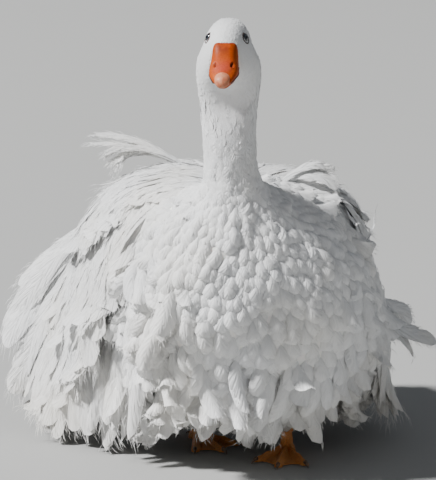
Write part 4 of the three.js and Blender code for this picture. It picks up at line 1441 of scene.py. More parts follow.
@dataclass
class Bill:
    """The bill: upper and lower halves, nail and the comb of ridges between the halves."""

    form: GooseForm
    sides: int = 72
    rings: int = 90
    nostril: tuple[float, float] = (3.05, 57.0)
    nostril_reach: tuple[float, float] = (0.34, 9.0)
    nostril_depth: float = 2.6
    nail_centre: tuple[float, float] = (-240.5, 475.0)
    nail_size: tuple[float, float, float] = (9.2, 11.0, 6.3)
    nail_tilt: float = 36.0
    combs: int = 26

    def section(self, stations: Sequence[BillStation], u: Array, v: Array) -> Array:
        """Points of the bill: the same superellipse sections as the body's.

        Args:
            stations: The sections.
            u: Station number.
            v: Angle round the section, from the left over the top.

        Returns:
            Points in millimetres before the head is turned, with x from the middle.
        """
        table = np.array([(*s.top, *s.bottom, s.half, s.wide, s.round) for s in stations])
        row = spline(table, u)
        height = np.hypot(row[..., 0] - row[..., 2], row[..., 1] - row[..., 3])
        up_y = (row[..., 0] - row[..., 2]) / height
        up_z = (row[..., 1] - row[..., 3]) / height
        power = 2 / row[..., 6]
        reach = height * np.where(np.sin(v) > 0, 1 - row[..., 5], row[..., 5])
        level = height * row[..., 5] + reach * signed_power(np.sin(v), power)
        across = row[..., 4] * signed_power(np.cos(v), power)
        return np.stack([across, row[..., 2] + up_y * level, row[..., 3] + up_z * level], axis=-1)

    def placed(self, points: Array) -> Array:
        """Head points in millimetres, with x from the middle, brought to their place."""
        out = points * MM
        out[..., 0] += self.form.neck_axis[0]
        return turned(out, self.form.head_turn, self.form.neck_axis) + ORIGIN_SHIFT

    def nostril_share(self, u: Array, v: Array) -> Array:
        """1 inside the nostrils, falling to 0 at their rims."""
        return 1 - smoothstep(0.55, 1.05, self._nostril_ring(u, v))

    def shell(self, name: str, stations: Sequence[BillStation], carved: bool) -> bpy.types.Object:
        """One half of the bill.

        Args:
            name: The piece's name.
            stations: Its sections.
            carved: Whether it has nostrils and a raised ridge, as the upper half has.

        Returns:
            The piece, with the attribute zone.
        """
        last = len(stations) - 1
        u, v = np.meshgrid(
            np.linspace(0, last, self.rings), np.linspace(0, 2 * np.pi, self.sides, endpoint=False),
            indexing="ij",
        )
        rings = self.section(stations, u, v)
        middle = rings.mean(1, keepdims=True)
        outward = unit(rings - middle)
        dark = np.zeros_like(u)
        if carved:
            # dark: the share of each point that gets the nostrils' painted shade
            dark = self.nostril_share(u, v)
            rim = np.exp(-(((self._nostril_ring(u, v) - 1.15) / 0.18) ** 2))
            ridge = 0.5 * np.exp(-(((v - np.pi / 2) / 0.35) ** 2)) * smoothstep(0.5, 2.0, u)
            sag = -0.55 * np.exp(-(((np.abs(v - np.pi / 2) - 0.75) / 0.3) ** 2)) * smoothstep(0.8, 2.5, u)
            rings = rings + outward * (ridge + sag + 0.45 * rim - self.nostril_depth * dark)[..., None]
        piece = grid_piece(name, [self.placed(rings)])
        pink = np.exp(-(((u - 3.6) / 0.9) ** 2)) * np.exp(-(((v - np.pi / 2) / 0.7) ** 2)) * carved
        crest = np.exp(-(((v - np.pi / 2) / 0.8) ** 2)) * smoothstep(3.2, 1.2, u) * carved
        zone = np.stack([pink, crest, dark], axis=-1).reshape(-1, 3)
        zone = np.vstack([zone, np.zeros((2, 3))])
        attribute = piece.data.attributes.new("zone", "FLOAT_VECTOR", "POINT")
        attribute.data.foreach_set("vector", zone.astype(np.float32).ravel())
        return piece

    def _nostril_ring(self, u: Array, v: Array) -> Array:
        """Elliptic distance from the nearer nostril's middle, 1 at its rim."""
        aside = np.abs(np.degrees(np.arctan2(np.sin(v), np.abs(np.cos(v)))) - self.nostril[1])
        return np.hypot((u - self.nostril[0]) / self.nostril_reach[0], aside / self.nostril_reach[1])

    def nail(self) -> bpy.types.Object:
        """The nail: a tilted ellipsoid over the tip, hooked down at its front edge."""
        polar = np.linspace(0.03, np.pi - 0.03, 36)[:, None]
        around = np.linspace(0, 2 * np.pi, 56, endpoint=False)[None, :]
        width, length, height = self.nail_size
        x = width * np.sin(polar) * np.cos(around)
        y = length * np.sin(polar) * np.sin(around)
        z = height * np.cos(polar) * np.ones_like(around)
        z = z - 0.02 * np.maximum(-y - 3, 0) ** 2 + 0.25 * np.exp(-((x / 3.0) ** 2))
        tilt = math.radians(self.nail_tilt)
        y, z = y * math.cos(tilt) - z * math.sin(tilt), y * math.sin(tilt) + z * math.cos(tilt)
        rings = np.stack([x, y + self.nail_centre[0], z + self.nail_centre[1]], axis=-1)
        return grid_piece("bill_nail_horn", [self.placed(rings)])

    def comb(self) -> bpy.types.Object:
        """The lamellae: a ribbed cord along both edges where the halves of the bill meet."""
        grids = []
        for side in (1, -1):
            u = np.linspace(0.7, 4.9, 6 * self.combs)
            angle = np.full_like(u, -0.32 if side > 0 else np.pi + 0.32)
            line = self.section(UPPER_BILL, u, angle)
            line[:, 2] -= 0.5
            line[:, 0] -= side * 0.7
            ribs = 1.25 + 0.4 * np.cos(np.linspace(0, 2 * np.pi * self.combs, len(u)))
            share = np.linspace(0, 1, len(u))
            ribs = ribs * smoothstep(0, 0.08, share * (1 - share) * 4)
            grids.append(tube_rings(self.placed(line), (ribs + 0.15) * MM, 10))
        return grid_piece("bill_comb", grids)

    def build(self) -> None:
        """Makes all pieces of the bill."""
        horn = BillFinish().make()
        nail = NAIL_HORN.make()
        comb = COMB_HORN.make()
        dress(self.shell("bill_upper_shell", UPPER_BILL, True), horn, ["bill_upper"])
        dress(self.shell("bill_lower_shell", LOWER_BILL, False), horn, ["bill_lower"])
        dress(self.nail(), nail, ["bill_nail"])
        dress(self.comb(), comb)


# ------------------------------------------------------------------ legs
@dataclass(frozen=True)
class Toe:
    """A front toe: its length in millimetres and its angle from the foot's heading."""

    length: float
    angle: float


@dataclass
class Leg:
    """One leg: feathered thigh, scaly shank and webbed foot. Millimetres and degrees."""

    name: str
    x: float
    y: float
    heading: float
    toes: tuple[Toe, ...] = (Toe(66, -27), Toe(82, 0), Toe(75, 25))
    toe_width: float = 4.9
    toe_height: float = 8.4
    web_height: float = 2.4
    rim_height: float = 1.1
    pad: float = 10.5
    claw_length: float = 11.0
    top_rings: int = 46

    @property
    def side(self) -> int:
        """1 for the left leg, -1 for the right."""
        return 1 if self.x > 0 else -1

    def placed(self, points: Array) -> Array:
        """Foot points in millimetres, heading -Y, brought to the leg's place in metres."""
        out = points * MM
        out[..., 0] *= self.side
        foot = np.array([self.x, self.y, 0.0]) * MM
        return turned(out, self.heading, (0.0, 0.0)) + foot + ORIGIN_SHIFT

    def outline(self, angle: Array) -> Array:
        """How far the foot reaches at each angle: toes with round ends, webs with hollow
        edges between them, and a round pad behind."""
        reach = np.full_like(angle, self.pad)
        for toe in self.toes:
            off = np.abs(angle - math.radians(toe.angle))
            flank = self.toe_width / np.maximum(np.sin(np.minimum(off, np.pi / 2)), 1e-3)
            tip = toe.length * np.cos(off) - 0.5 * (toe.length * np.sin(off)) ** 2 / self.toe_width
            along = np.where(flank > toe.length * 0.93, np.maximum(tip, toe.length * 0.86), flank)
            reach = np.maximum(reach, np.where(off < np.pi / 2, np.minimum(along, toe.length), 0))
        for first, second in zip(self.toes, self.toes[1:]):
            start, end = math.radians(first.angle), math.radians(second.angle)
            share = (angle - start) / (end - start)
            inside = (share > 0) & (share < 1)
            edge = first.length + (second.length - first.length) * share
            hollow = edge * (0.95 - 0.13 * np.sin(np.pi * np.clip(share, 0, 1)) ** 0.8)
            reach = np.where(inside, np.maximum(reach, hollow), reach)
        return reach

    def foot(self) -> Array:
        """Rings of the foot, from the middle of its top out to the rim and back under it.

        Top = web height plus a ridge for each toe, height * exp(-(d / width)^2) with low
        knuckles, plus a dome under the shank. The underside touches the floor along toes
        and pad.
        """
        raw = np.linspace(-1, 1, 260, endpoint=False)
        angle = np.pi * np.sign(raw) * np.abs(raw) ** 1.9
        out, back = np.linspace(0.04, 1, self.top_rings), np.linspace(1, 0.04, 30)[1:]
        share = np.concatenate([out, back])[:, None]
        radius = share * self.outline(angle)
        x, y = radius * np.sin(angle), -radius * np.cos(angle)
        ridge, pads = np.zeros_like(x), np.exp(-((radius / 10.0) ** 2))
        for toe in self.toes:
            a = math.radians(toe.angle)
            along, off = x * math.sin(a) - y * math.cos(a), x * math.cos(a) + y * math.sin(a)
            span = np.clip(along / toe.length, 0, 1)
            knuckle = 0.75 * np.cos(2 * np.pi * span * 3.2)
            tall = self.toe_height - 3.6 * span + knuckle
            tall = tall * smoothstep(toe.length + 1, toe.length - 7, along)
            tall = tall * smoothstep(-2, 6, along)
            ridge = np.maximum(ridge, tall * np.exp(-((off / 3.9) ** 2)))
            pads = np.maximum(pads, np.exp(-((off / 4.6) ** 2)) * smoothstep(-2, 4, along))
        dome = 15.0 * np.exp(-((radius / 9.5) ** 2))
        fringe = np.sqrt(1 - np.minimum(share, 1) ** 10)
        top = self.rim_height + (self.web_height - self.rim_height + ridge + dome) * fringe
        sole = 0.8 * (1 - pads) * (1 - share ** 8) + self.rim_height * share ** 8
        upper = np.arange(len(share))[:, None] < self.top_rings
        z = np.where(upper, top, sole)
        return self.placed(np.stack([x, y, z], axis=-1))

    def shank(self) -> Array:
        """Rings of the bare shank, thick at the ankle, flattened from side to side."""
        z = np.linspace(2.5, 66, 40)
        radius = 6.1 + 1.5 * np.exp(-(((z - 13) / 7) ** 2)) + 0.8 * smoothstep(30, 60, z)
        centres = np.stack([np.zeros_like(z), np.zeros_like(z), z], axis=-1)
        rings = tube_rings(centres, radius, 28)
        rings[..., 1] *= 1.12
        return self.placed(rings)

    def hind_toe(self) -> Array:
        """Rings of the small hind toe, lying on the floor behind the ankle."""
        share = np.linspace(0, 1, 14)
        start, end = np.array([-2.0, 4.0, 8.0]), np.array([-4.0, 20.0, 2.8])
        centres = bezier(start, np.array([-3.0, 14.0, 7.0]), end, share[:, None])
        return self.placed(tube_rings(centres, 3.6 * (1 - 0.35 * share ** 3), 14))

    def thigh(self) -> Column:
        """The feathered column over the top of the leg."""
        return Column(foot=(self.x * MM, self.y * MM), lean=0.014)

    def thigh_rings(self) -> Array:
        """Rings of the skin of the thigh, inside its feathers."""
        u = np.linspace(-0.1, 1.03, 30)[:, None] * np.ones((1, 40))
        v = np.linspace(0, 2 * np.pi, 40, endpoint=False)[None, :] * np.ones((30, 1))
        return self.thigh().point(u, v, 0.0048)

    def claws(self) -> list[Array]:
        """Rings of the claws: tapered horns bent down from each toe's end."""
        grids = []
        starts = [(toe.length - 3.5, toe.angle, 4.6, 2.5) for toe in self.toes] + [(18.0, 172.0, 3.2, 1.7)]
        for reach, angle, height, girth in starts:
            a = math.radians(angle)
            way = np.array([math.sin(a), -math.cos(a), 0.0])
            share = np.linspace(0, 1, 12)
            length = self.claw_length * (1.0 if girth > 2 else 0.75)
            low = bezier(height, height + 0.6, 0.5, share)
            centres = way * (reach + length * share)[:, None] + UP * low[:, None]
            grids.append(self.placed(tube_rings(centres, girth * (1 - 0.86 * share ** 1.4), 12, 1.1)))
        return grids


LEGS = (Leg("left", 37, -44, -24), Leg("right", -48, 50, 8))


# ------------------------------------------------------------------ skin
@dataclass
class Skin:
    """One skin from the bill to the toes, inside the coat."""

    form: GooseForm
    eyes: Eyes
    sides: int = 230
    head_rings: int = 130
    body_rings: int = 120

    def body(self) -> Array:
        """Rings of head, neck and body, sunk by the coat's depth, with the eyes' folds."""
        head = np.linspace(FACE, THROAT, self.head_rings)
        trunk = np.linspace(THROAT, LAST_STATION, self.body_rings)[1:]
        u = np.concatenate([head, trunk])
        v = np.linspace(0, 2 * np.pi, self.sides, endpoint=False)
        u, v = np.meshgrid(u, v, indexing="ij")
        return self.eyes.fold(self.form.point(u, v, self.form.coat_depth(u)))

    def build(self) -> None:
        """Joins all rings in one closed skin and marks the eyelids."""
        skin = grid_piece("skin", [self.body()])
        limbs = []
        for leg in LEGS:
            for part, rings in (
                ("thigh", leg.thigh_rings()),
                ("shank", leg.shank()),
                ("foot", leg.foot()),
                ("hind_toe", leg.hind_toe()),
            ):
                limbs.append(grid_piece(f"{part}_{leg.name}", [rings]))
        self._unite(skin, limbs)
        share = self.eyes.lid_share(read(skin.data.vertices, "co", 3, float))
        lids = skin.data.attributes.new("eyelid", "FLOAT", "POINT")
        lids.data.foreach_set("value", share.astype(np.float32))
        replaced = ["head", "neck_upper", "neck_lower", "breast", "trunk", "rump"]
        replaced += [f"{part}_{leg.name}" for leg in LEGS for part in ("thigh", "shank", "foot")]
        dress(skin, SkinFinish().make(), replaced)

    @staticmethod
    def _unite(skin: bpy.types.Object, limbs: list[bpy.types.Object]) -> None:
        """Joins the limbs to the skin as one closed surface."""
        tools = bpy.data.collections.new("limbs")
        for limb in limbs:
            tools.objects.link(limb)
        join = skin.modifiers.new("join", "BOOLEAN")
        join.operation = "UNION"
        join.operand_type = "COLLECTION"
        join.collection = tools
        join.solver = "MANIFOLD"
        bpy.context.view_layer.update()
        graph = bpy.context.evaluated_depsgraph_get()
        whole = bpy.data.meshes.new_from_object(skin.evaluated_get(graph))
        skin.modifiers.clear()
        skin.data = whole
        whole.name = "skin"
        whole.materials.clear()
        whole.polygons.foreach_set("material_index", np.zeros(len(whole.polygons), np.int32))
        whole.shade_smooth()
        for limb in limbs:
            bpy.data.objects.remove(limb)
        bpy.data.collections.remove(tools)


# ------------------------------------------------------------------ coat of head, neck and body
@dataclass(frozen=True)
class Zone:
    """How the coat grows at one station: sizes in millimetres, tuck in degrees."""

    station: float
    length: float
    width: float
    along: float
    across: float
    rise: float
    tuck: float


ZONES = (
    Zone(0.0, 7.0, 5.4, 1.9, 2.2, 0.15, 0),
    Zone(2.0, 12.0, 7.4, 2.6, 2.8, 0.25, 0),
    Zone(4.0, 17.0, 9.4, 3.6, 3.7, 0.45, -2),
    Zone(6.0, 21.0, 10.4, 4.6, 4.8, 0.9, -5),
    Zone(8.0, 23.0, 11.5, 5.8, 7.2, 2.8, -24),
    Zone(9.5, 27.0, 16.5, 7.4, 11.6, 5.6, -46),
    Zone(11.0, 34.0, 22.0, 10.0, 16.0, 9.6, -64),
    Zone(13.0, 43.0, 28.0, 14.0, 21.0, 13.6, -74),
    Zone(15.0, 52.0, 31.0, 17.5, 23.5, 17.0, -78),
    Zone(17.0, 58.0, 32.0, 20.5, 24.0, 14.5, -62),
    Zone(20.0, 54.0, 29.0, 21.0, 22.0, 9.0, -18),
    Zone(22.0, 42.0, 24.0, 18.0, 18.0, 6.5, -10),
)


@dataclass(frozen=True)
class CoatPart:
    """A stretch of the body's coat that is one piece."""

    name: str
    start: float
    end: float
    vane: Vane
    slot: Slot
    disorder: float
    curls: float


VELVET = Vane(rows=5, columns=3, cup=0.05, ragged=0.1, barbs=0, thickness=0.0003, blunt=1.7, softness=0.8)
HEAD_VANE = Vane(rows=5, columns=3, cup=0.08, ragged=0.12, barbs=1, thickness=0.0003, blunt=1.8,
                 barb_length=0.28, barb_width=0.00014, barb_angle=(0.05, 0.6), edge_share=1.0,
                 softness=0.74)
NECK_VANE = Vane(rows=6, columns=5, cup=0.4, ragged=0.16, barbs=8, barb_length=0.26,
                 barb_width=0.0002, barb_angle=(0.05, 0.7), edge_share=0.7, softness=0.4)
PUFF_VANE = Vane(rows=9, columns=5, cup=0.82, widest=0.66, blunt=2.3, ragged=0.09, barbs=24,
                 barb_length=0.15, barb_width=0.0003, thickness=0.0008, barb_angle=(0.05, 0.9),
                 softness=0.12)
FLUFF_VANE = Vane(rows=9, columns=5, cup=0.78, widest=0.62, blunt=2.2, ragged=0.11, barbs=26,
                  barb_length=0.17, barb_width=0.00032, thickness=0.0008, barb_angle=(0.05, 0.9),
                  softness=0.2)
WISP_VANE = Vane(rows=8, columns=5, cup=0.65, widest=0.6, blunt=2.1, ragged=0.11, barbs=22,
                 barb_length=0.13, barb_width=0.0003, thickness=0.0007, barb_angle=(0.05, 0.8),
                 softness=0.15)
THIGH_VANE = Vane(rows=7, columns=5, cup=0.45, barbs=10, barb_length=0.2, barb_width=0.00025)

COAT_PARTS = (
    CoatPart("coat_face", 0.03, 2.7, VELVET, Slot.FACE, 0.1, 0.0),
    CoatPart("coat_head", 2.7, 6.0, HEAD_VANE, Slot.FACE, 0.12, 0.0),
    CoatPart("coat_neck", 6.0, 9.4, NECK_VANE, Slot.BODY, 0.13, 0.0),
    CoatPart("coat_breast_upper", 9.4, 12.6, PUFF_VANE, Slot.BODY, 0.13, 0.015),
    CoatPart("coat_breast_lower", 12.6, 15.0, PUFF_VANE, Slot.BODY, 0.15, 0.04),
    CoatPart("coat_belly_front", 15.0, 17.4, PUFF_VANE, Slot.BODY, 0.2, 0.12),
    CoatPart("coat_belly_back", 17.4, 21.9, FLUFF_VANE, Slot.BODY, 0.26, 0.18),
)


COVER_EDGE = (
    (-60, -40, -10, 40, 90, 134, 172, 200, 218),
    (330, 230, 170, 125, 100, 105, 135, 180, 205),
)
COVER_FRONT, COVER_BACK, COVER_ASIDE = -22, 205, 22


@dataclass
class BodyCoat:
    """The feathers of head, neck, breast, belly and thighs."""

    form: GooseForm
    eyes: Eyes
    rng: np.random.Generator
    hang: float = 0.5
    unevenness: float = 0.35
    table: Array = field(init=False)

    def __post_init__(self) -> None:
        """Gathers the zones in one table."""
        self.table = np.array([astuple(zone) for zone in ZONES])

    def size(self, u: Array, column: int) -> Array:
        """One column of the zones at station u, straight between the zones."""
        return np.interp(u, self.table[:, 0], self.table[:, column])

    def covered(self, points: Array) -> Array:
        """Whether points of the body lie well under the wings or the mantle, which leave the
        middle of the back free."""
        y = (points[:, 1] - ORIGIN_SHIFT[1]) / MM
        z = points[:, 2] / MM
        edge = np.interp(y, *COVER_EDGE)
        aside = np.abs(points[:, 0] - ORIGIN_SHIFT[0]) / MM
        return (y > COVER_FRONT) & (z > edge) & (y < COVER_BACK) & (aside > COVER_ASIDE)

    def flight(self, roots: Roots, part: CoatPart, deeper: float) -> Flight:
        """Lays feathers at the given roots.

        Args:
            roots: Where they grow.
            part: Their stretch of the coat.
            deeper: How far below the upper feathers they lie, in metres.

        Returns:
            The batch.
        """
        n, rng = len(roots.u), self.rng
        scale = rng.uniform(0.86, 1.14, n)
        length = self.size(roots.u, 1) * MM * scale
        rise = self.size(roots.u, 5) * MM * rng.uniform(0.85, 1.1, n)
        heading = rng.normal(0, part.disorder, n) + self._combing(roots)
        depth = rise * (1.05 + self.unevenness * rng.random(n)) + deeper
        shares, limits = part.vane.shares(), (0.02, LAST_STATION)
        base, normal = path_on(self.form, roots, heading, length, shares, depth, limits)
        tuck = np.radians(self.size(roots.u, 6)) * rng.uniform(0.6, 1.3, n)
        curl = rng.random(n) < part.curls * self._curliness(roots)
        tuck = np.where(curl, rng.uniform(0.2, 1.1, n), tuck)
        tuck = tuck + self.hang * self._under(roots)
        return Flight(
            base, normal, self.form.unwrapped(roots.u, roots.v), length,
            self.size(roots.u, 2) * MM * rng.uniform(0.88, 1.14, n), rise, tuck,
            rng.normal(0, 1.2 * part.disorder, n), rng.normal(0, 1.0 * part.disorder, n),
        )

    def _under(self, roots: Roots) -> Array:
        """1 under the belly, where the feathers hang free, falling to 0 on the breast."""
        return smoothstep(14.2, 16.2, roots.u) * smoothstep(-0.35, -0.8, np.sin(roots.v))

    def _combing(self, roots: Roots) -> Array:
        """The turn that gathers neck feathers in upright furrows, none elsewhere."""
        on_neck = smoothstep(4.5, 6.5, roots.u) * (1 - smoothstep(9.0, 10.5, roots.u))
        return 0.5 * on_neck * np.sin(15 * roots.v + 1.4 * np.sin(2.1 * roots.u))

    def _curliness(self, roots: Roots) -> Array:
        """More curls at the sides of the breast than in its middle."""
        return 0.1 + 2.2 * np.abs(np.cos(roots.v)) ** 4

    def roots(self, part: CoatPart, shift: float, room: float) -> Roots:
        """Scattered roots of one part, without those over the eyes or under the wings."""
        found = scatter(
            self.form,
            (part.start + shift, part.end),
            (0.0, 2 * np.pi),
            lambda u: self.size(u, 3) * MM * room, lambda u: self.size(u, 4) * MM * room, self.rng, 0.5,
        )
        points = self.form.point(found.u, found.v)
        return found.kept(~self.covered(points) & self.eyes.clear(points))

    def build(self, velvet: bpy.types.Material, material: bpy.types.Material) -> None:
        """Makes every part of the body's coat, with velvet on the head."""
        for part in COAT_PARTS:
            plumage = Plumage(self.rng)
            under = self.roots(part, 0.0, 1.25)
            plumage.add(self.flight(under, part, self.size(part.start, 5) * MM * 0.45), part.vane)
            plumage.add(self.flight(self.roots(part, 0.01, 1.0), part, 0.0), part.vane)
            dress(plumage.build(part.name), velvet if part.slot is Slot.FACE else material)
        self.fringe(material)
        self.thighs(material)

    def loose(self, stations: tuple[float, float], angles: tuple[float, float], vane: Vane,
              length: tuple[float, float], away: tuple[float, float]) -> Flight:
        """Loose feathers that stand off the body and hang, with open hoops among them.

        Args:
            stations: First and last station of their roots.
            angles: First and last angle of their roots round the body.
            vane: Their cut.
            length: Least and most length, cut short over the ground.
            away: Least and most that a feather stands off the body.

        Returns:
            The batch.
        """
        rng = self.rng
        found = scatter(self.form, stations, angles, even(0.0172), even(0.0152), rng, 0.9)
        n = len(found.u)
        root = self.form.point(found.u, found.v, 0.016)
        sides = self.form.outward(found.u, found.v) * [1, 1, 0]
        lowest = 0.016 + 0.045 * smoothstep(0.01, 0.08, root[:, 0])
        room = np.maximum(root[:, 2] - lowest, 0.012)
        length_here = np.minimum(rng.uniform(*length, n), room * rng.uniform(0.5, 1.05, n))
        bend = root + sides * rng.uniform(*away, (n, 1)) - UP * length_here[:, None] * 0.35
        stray = rng.normal(0, 0.008, (n, 3)) * [1, 1, 0]
        tip = root + sides * rng.uniform(*away, (n, 1)) * 0.5 - UP * length_here[:, None] + stray
        base = bezier(root[:, None], bend[:, None], tip[:, None], vane.shares()[None, :, None])
        facing = unit(sides * 1.2 + [0.0, -1.0, 0.1] + rng.normal(0, 0.4, (n, 3)))
        normal = np.broadcast_to(facing[:, None], base.shape)
        tuck = np.where(rng.random(n) < 0.25, rng.uniform(0.4, 1.6, n), rng.uniform(-1.9, -0.2, n))
        return Flight(
            base, normal, self.form.unwrapped(found.u, found.v), length_here,
            rng.uniform(0.016, 0.027, n), np.zeros(n), tuck, rng.normal(0, 0.4, n),
            rng.normal(0, 0.4, n),
        )

    def fringe(self, material: bpy.types.Material) -> None:
        """The loose feathers under breast and belly, lower on the right than on the left,
        and the curls at both edges of the breast."""
        under = Plumage(self.rng)
        angles = (1.15 * np.pi, 1.85 * np.pi)
        hem = self.loose((14.2, 19.4), angles, WISP_VANE, (0.03, 0.075), (0.004, 0.016))
        under.add(hem, WISP_VANE)
        dress(under.build("coat_fringe"), material)
        edges = Plumage(self.rng)
        for angles in ((0.96 * np.pi, 1.17 * np.pi), (1.83 * np.pi, 2.02 * np.pi)):
            for away in ((0.008, 0.022), (0.016, 0.036)):
                edges.add(self.loose((12.4, 18.2), angles, FLUFF_VANE, (0.04, 0.062), away), FLUFF_VANE)
        dress(edges.build("coat_breast_edges"), material)

    def thighs(self, material: bpy.types.Material) -> None:
        """Feathers down both thighs to the bare shanks."""
        plumage = Plumage(self.rng)
        for leg in LEGS:
            column = leg.thigh()
            found = scatter(column, (-0.05, 0.82), (0.0, 2 * np.pi), even(0.008), even(0.008), self.rng, 0.5)
            n = len(found.u)
            length = self.rng.uniform(0.016, 0.026, n)
            heading, depth = self.rng.normal(0, 0.2, n), np.full(n, 0.0045)
            shares = THIGH_VANE.shares()
            base, normal = path_on(column, found, heading, length, shares, depth, (-0.2, 1.12))
            places = self.form.nearest_place(base[:, 0])
            rise = np.full(n, 0.0035)
            tuck = self.rng.uniform(-0.7, 0.1, n)
            sway, twist = self.rng.normal(0, 0.3, n), self.rng.normal(0, 0.2, n)
            width = self.rng.uniform(0.009, 0.013, n)
            flight = Flight(base, normal, places, length, width, rise, tuck, sway, twist)
            plumage.add(flight, THIGH_VANE)
        dress(plumage.build("coat_thighs"), material)


# ------------------------------------------------------------------ wings, mantle, flanks, tail
WING_CUTS = (
    Cut(-84, (96, 304), (116, 298), (128, 276)),
    Cut(-56, (84, 315), (156, 308), (156, 210)),
    Cut(-10, (66, 318), (178, 314), (176, 130)),
    Cut(40, (52, 319), (190, 310), (186, 76)),
    Cut(90, (42, 313), (198, 300), (196, 48)),
    Cut(134, (34, 301), (190, 287), (200, 52)),
    Cut(172, (30, 281), (168, 262), (176, 90)),
    Cut(200, (40, 252), (118, 242), (132, 150)),
    Cut(218, (62, 230), (86, 222), (96, 176)),
)
MANTLE_CUTS = (
    Cut(-70, (2, 320), (70, 322), (100, 310)),
    Cut(-40, (2, 330), (104, 338), (134, 296)),
    Cut(0, (2, 334), (130, 345), (160, 264)),
    Cut(45, (2, 333), (140, 344), (172, 238)),
    Cut(90, (2, 328), (144, 337), (174, 220)),
    Cut(132, (2, 316), (130, 323), (152, 212)),
    Cut(168, (2, 296), (92, 298), (112, 222)),
    Cut(192, (2, 278), (40, 276), (58, 246)),
)
FLANK_CUTS = (
    Cut(-112, (104, 104), (116, 92), (104, 76)),
    Cut(-84, (120, 112), (140, 84), (114, 46)),
    Cut(-44, (130, 116), (156, 80), (120, 30)),
    Cut(0, (134, 118), (164, 78), (128, 24)),
    Cut(44, (132, 118), (166, 78), (134, 24)),
    Cut(84, (124, 120), (158, 84), (130, 34)),
    Cut(116, (108, 122), (132, 96), (112, 64)),
)


@dataclass(frozen=True)
class Line:
    """A single large feather or a bunch: where it leaves, bends and ends, and its width, in
    millimetres, for the goose's left side unless both sides differ."""

    root: tuple[float, float, float]
    bend: tuple[float, float, float]
    tip: tuple[float, float, float]
    width: float


RIGHT_LINES = (
    Line((176, 20, 200), (212, 38, 110), (198, 44, 28), 40),
    Line((180, 56, 190), (218, 80, 96), (207, 88, 20), 40),
    Line((180, 84, 200), (226, 118, 100), (228, 126, 26), 40),
    Line((176, 104, 220), (224, 146, 140), (235, 158, 50), 40),
    Line((166, 114, 244), (220, 164, 180), (252, 178, 108), 38),
    Line((150, 120, 262), (192, 172, 224), (219, 204, 160), 36),
    Line((116, 140, 250), (152, 206, 200), (176, 238, 118), 38),
)
RAG_LINES = (
    Line((140, -60, 190), (160, -66, 120), (146, -62, 56), 40),
    Line((148, -30, 190), (172, -30, 110), (158, -28, 40), 40),
    Line((156, 0, 180), (180, 6, 100), (170, 10, 32), 40),
)
LEFT_LINES = (
    Line((142, 0, 200), (172, 14, 120), (164, 20, 56), 38),
    Line((146, 36, 190), (178, 54, 106), (170, 64, 40), 40),
    Line((146, 70, 200), (184, 100, 110), (180, 112, 36), 40),
    Line((142, 98, 212), (186, 138, 146), (194, 156, 66), 40),
    Line((128, 118, 240), (170, 172, 196), (196, 200, 126), 38),
    Line((96, 144, 242), (132, 204, 190), (152, 236, 112), 38),
)
SPLAYED_LINES = (
    Line((140, -20, 172), (180, -24, 170), (202, -4, 144), 24),
    Line((142, 16, 146), (200, 18, 136), (242, 46, 96), 26),
)
RAISED_LINES = (
    Line((-60, 64, 330), (-108, 84, 368), (-152, 98, 346), 24),
    Line((30, -44, 326), (66, -56, 350), (96, -48, 328), 28),
)
LOWEST_SHAFT = 4 * MM
SILK_SPACE = (0.017, 0.0145)
STRAND_SPACE = (0.017, 0.012)
TAIL_LAYERS = ((14, 1.0, 0.0), (11, 0.72, 7.0), (11, 0.66, -8.0), (9, 0.5, 12.0))
SILK_VANE = Vane(rows=8, columns=5, cup=0.1, widest=0.5, blunt=1.5, sweep=0.5, ragged=0.11, barbs=23,
                 barb_length=0.2, barb_width=0.0003, thickness=0.0006, barb_angle=(0.03, 0.35), softness=0.45)
STRAND_VANE = Vane(rows=8, columns=3, cup=0.3, widest=0.4, root_width=0.5, blunt=1.3, sweep=0.2, ragged=0.25,
                   barbs=5, barb_length=0.25, barb_width=0.00026, thickness=0.0005, barb_angle=(0.03, 0.3),
                   softness=0.6)
QUILL_VANE = Vane(rows=15, columns=5, cup=0.14, widest=0.68, blunt=2.2, sweep=0.4, ragged=0.16, barbs=60,
                  barb_length=0.1, barb_width=0.0003, thickness=0.0009, barb_angle=(0.05, 0.5))


def wing_heading(roots: Roots) -> Array:
    """How far the plumes of a wing turn from straight down towards the tail."""
    return np.radians(6 + 4.2 * roots.v)


def mantle_heading(roots: Roots) -> Array:
    """How far the plumes of the mantle turn from straight down towards the tail."""
    return np.radians(38 - 14 * roots.u)


